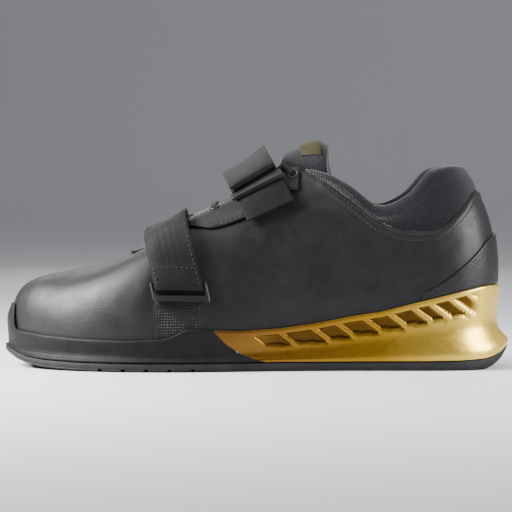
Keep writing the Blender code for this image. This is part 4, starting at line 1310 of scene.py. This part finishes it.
webbing = new_finish("black_webbing", (0.0066, 0.0066, 0.0073), 0.6)
tint(webbing, spots(webbing, 70, 4), 0.3, 0.75, (0.005, 0.005, 0.0053), (0.0092, 0.0092, 0.0099))
raise_by(webbing, cells(webbing, 1100, source="UV", random=0.1), 0.00025, 0.7)
raise_by(webbing, spots(webbing, 60, 2), 0.0008, 0.3)
loop_pile = new_finish("loop_pile", (0.0126, 0.0126, 0.013), 0.9)
tint(loop_pile, spots(loop_pile, 1100, 4, 0.75), 0.38, 0.66,
     (0.0042, 0.0042, 0.0046), (0.0231, 0.0231, 0.0244))
raise_by(loop_pile, spots(loop_pile, 1500, 3, 0.7), 0.0012, 1.0)
pile_shader = shader_of(loop_pile)
pile_shader.inputs["Sheen Weight"].default_value = 0.06
pile_shader.inputs["Sheen Roughness"].default_value = 0.5
loop_black = new_finish("black_loop", (0.0132, 0.0132, 0.0144), 0.38)
raise_by(loop_black, spots(loop_black, 700, 3), 0.0002, 0.4)

front_low = arched(2 * GAP, STRAP_OVER, 2 * GAP, FRONT_RISE, FRONT_FALL)
bm = strap_layer(FRONT_STRAP, FRONT_ENDS, front_low, FRONT_LAYER)
make_piece(bm, "front_strap_lower_layer", webbing, ["front_strap"], smooth=60)
bm = strap_layer(FRONT_STRAP, FRONT_BACK_ENDS,
                 lambda f: front_low(f * FRONT_BACK_SHARE) + FRONT_LAYER + 0.0001,
                 FRONT_BACK_LAYER, round_end=0.4)
make_piece(bm, "front_strap_upper_layer", webbing, smooth=60)


def front_top(angle):
    """Height over the form of the folded-back layer's outer face, where it is stitched."""
    f = (angle - FRONT_ENDS[0]) / (FRONT_ENDS[1] - FRONT_ENDS[0])
    return front_low(f) + FRONT_LAYER + FRONT_BACK_LAYER + 0.0001


for share in (-SEWN_ACROSS, SEWN_ACROSS):
    sew(stitches, strap_path(FRONT_STRAP, (17, 136), share, front_top))
sew(stitches, [strap_path(FRONT_STRAP, (28, 29), share, front_top, 2)[0]
               for share in spread_out(-SEWN_ACROSS, SEWN_ACROSS, 20)])
loop = bmesh.new()
add_part(loop, strap_layer(FRONT_STRAP, (7.4, 11.0), lambda f: 2 * GAP, 0.0030, 1.16, 8))
for side in (-1, 1):
    def post_point(u, v):
        angle = 9 + 10 * u
        turn = 2 * math.pi * v
        share = side * 0.55 + 0.045 * math.cos(turn)
        return strap_point(FRONT_STRAP, angle, share, 2 * GAP + 0.0015 + 0.0013 * math.sin(turn))

    add_part(loop, close_ends(loft(10, 12, post_point)))
make_piece(loop, "front_strap_loop", loop_black, ["front_loop"], smooth=60)

instep_low = arched(STRAP_OVER, STRAP_OVER + INSTEP_LIFT, 2 * GAP, INSTEP_RISE, INSTEP_FALL)
bm = strap_layer(INSTEP_STRAP, INSTEP_ENDS, instep_low, INSTEP_LAYER)
make_piece(bm, "instep_strap_lower_layer", webbing, ["instep_strap"], smooth=60)
bm = strap_layer(INSTEP_STRAP, INSTEP_BACK_ENDS,
                 lambda f: instep_low(f * INSTEP_BACK_SHARE) + INSTEP_LAYER + GAP,
                 INSTEP_BACK_LAYER, round_end=0.4)
make_piece(bm, "instep_strap_upper_layer", loop_pile, smooth=60)
bm = strap_layer(INSTEP_STRAP, (53.5, 59), lambda f: STRAP_OVER, 0.0026, 1.12, 10)
make_piece(bm, "instep_strap_loop", loop_black, ["instep_loop"], smooth=60)
bm = strap_layer(INSTEP_STRAP, ANCHOR_ENDS, lambda f: STRAP_SEAT, ANCHOR_WALL, 1.0, 20)
make_piece(bm, "instep_strap_anchor", webbing, ["instep_anchor"], smooth=60)

make_piece(stitches, "seam_stitches", thread, smooth=80)
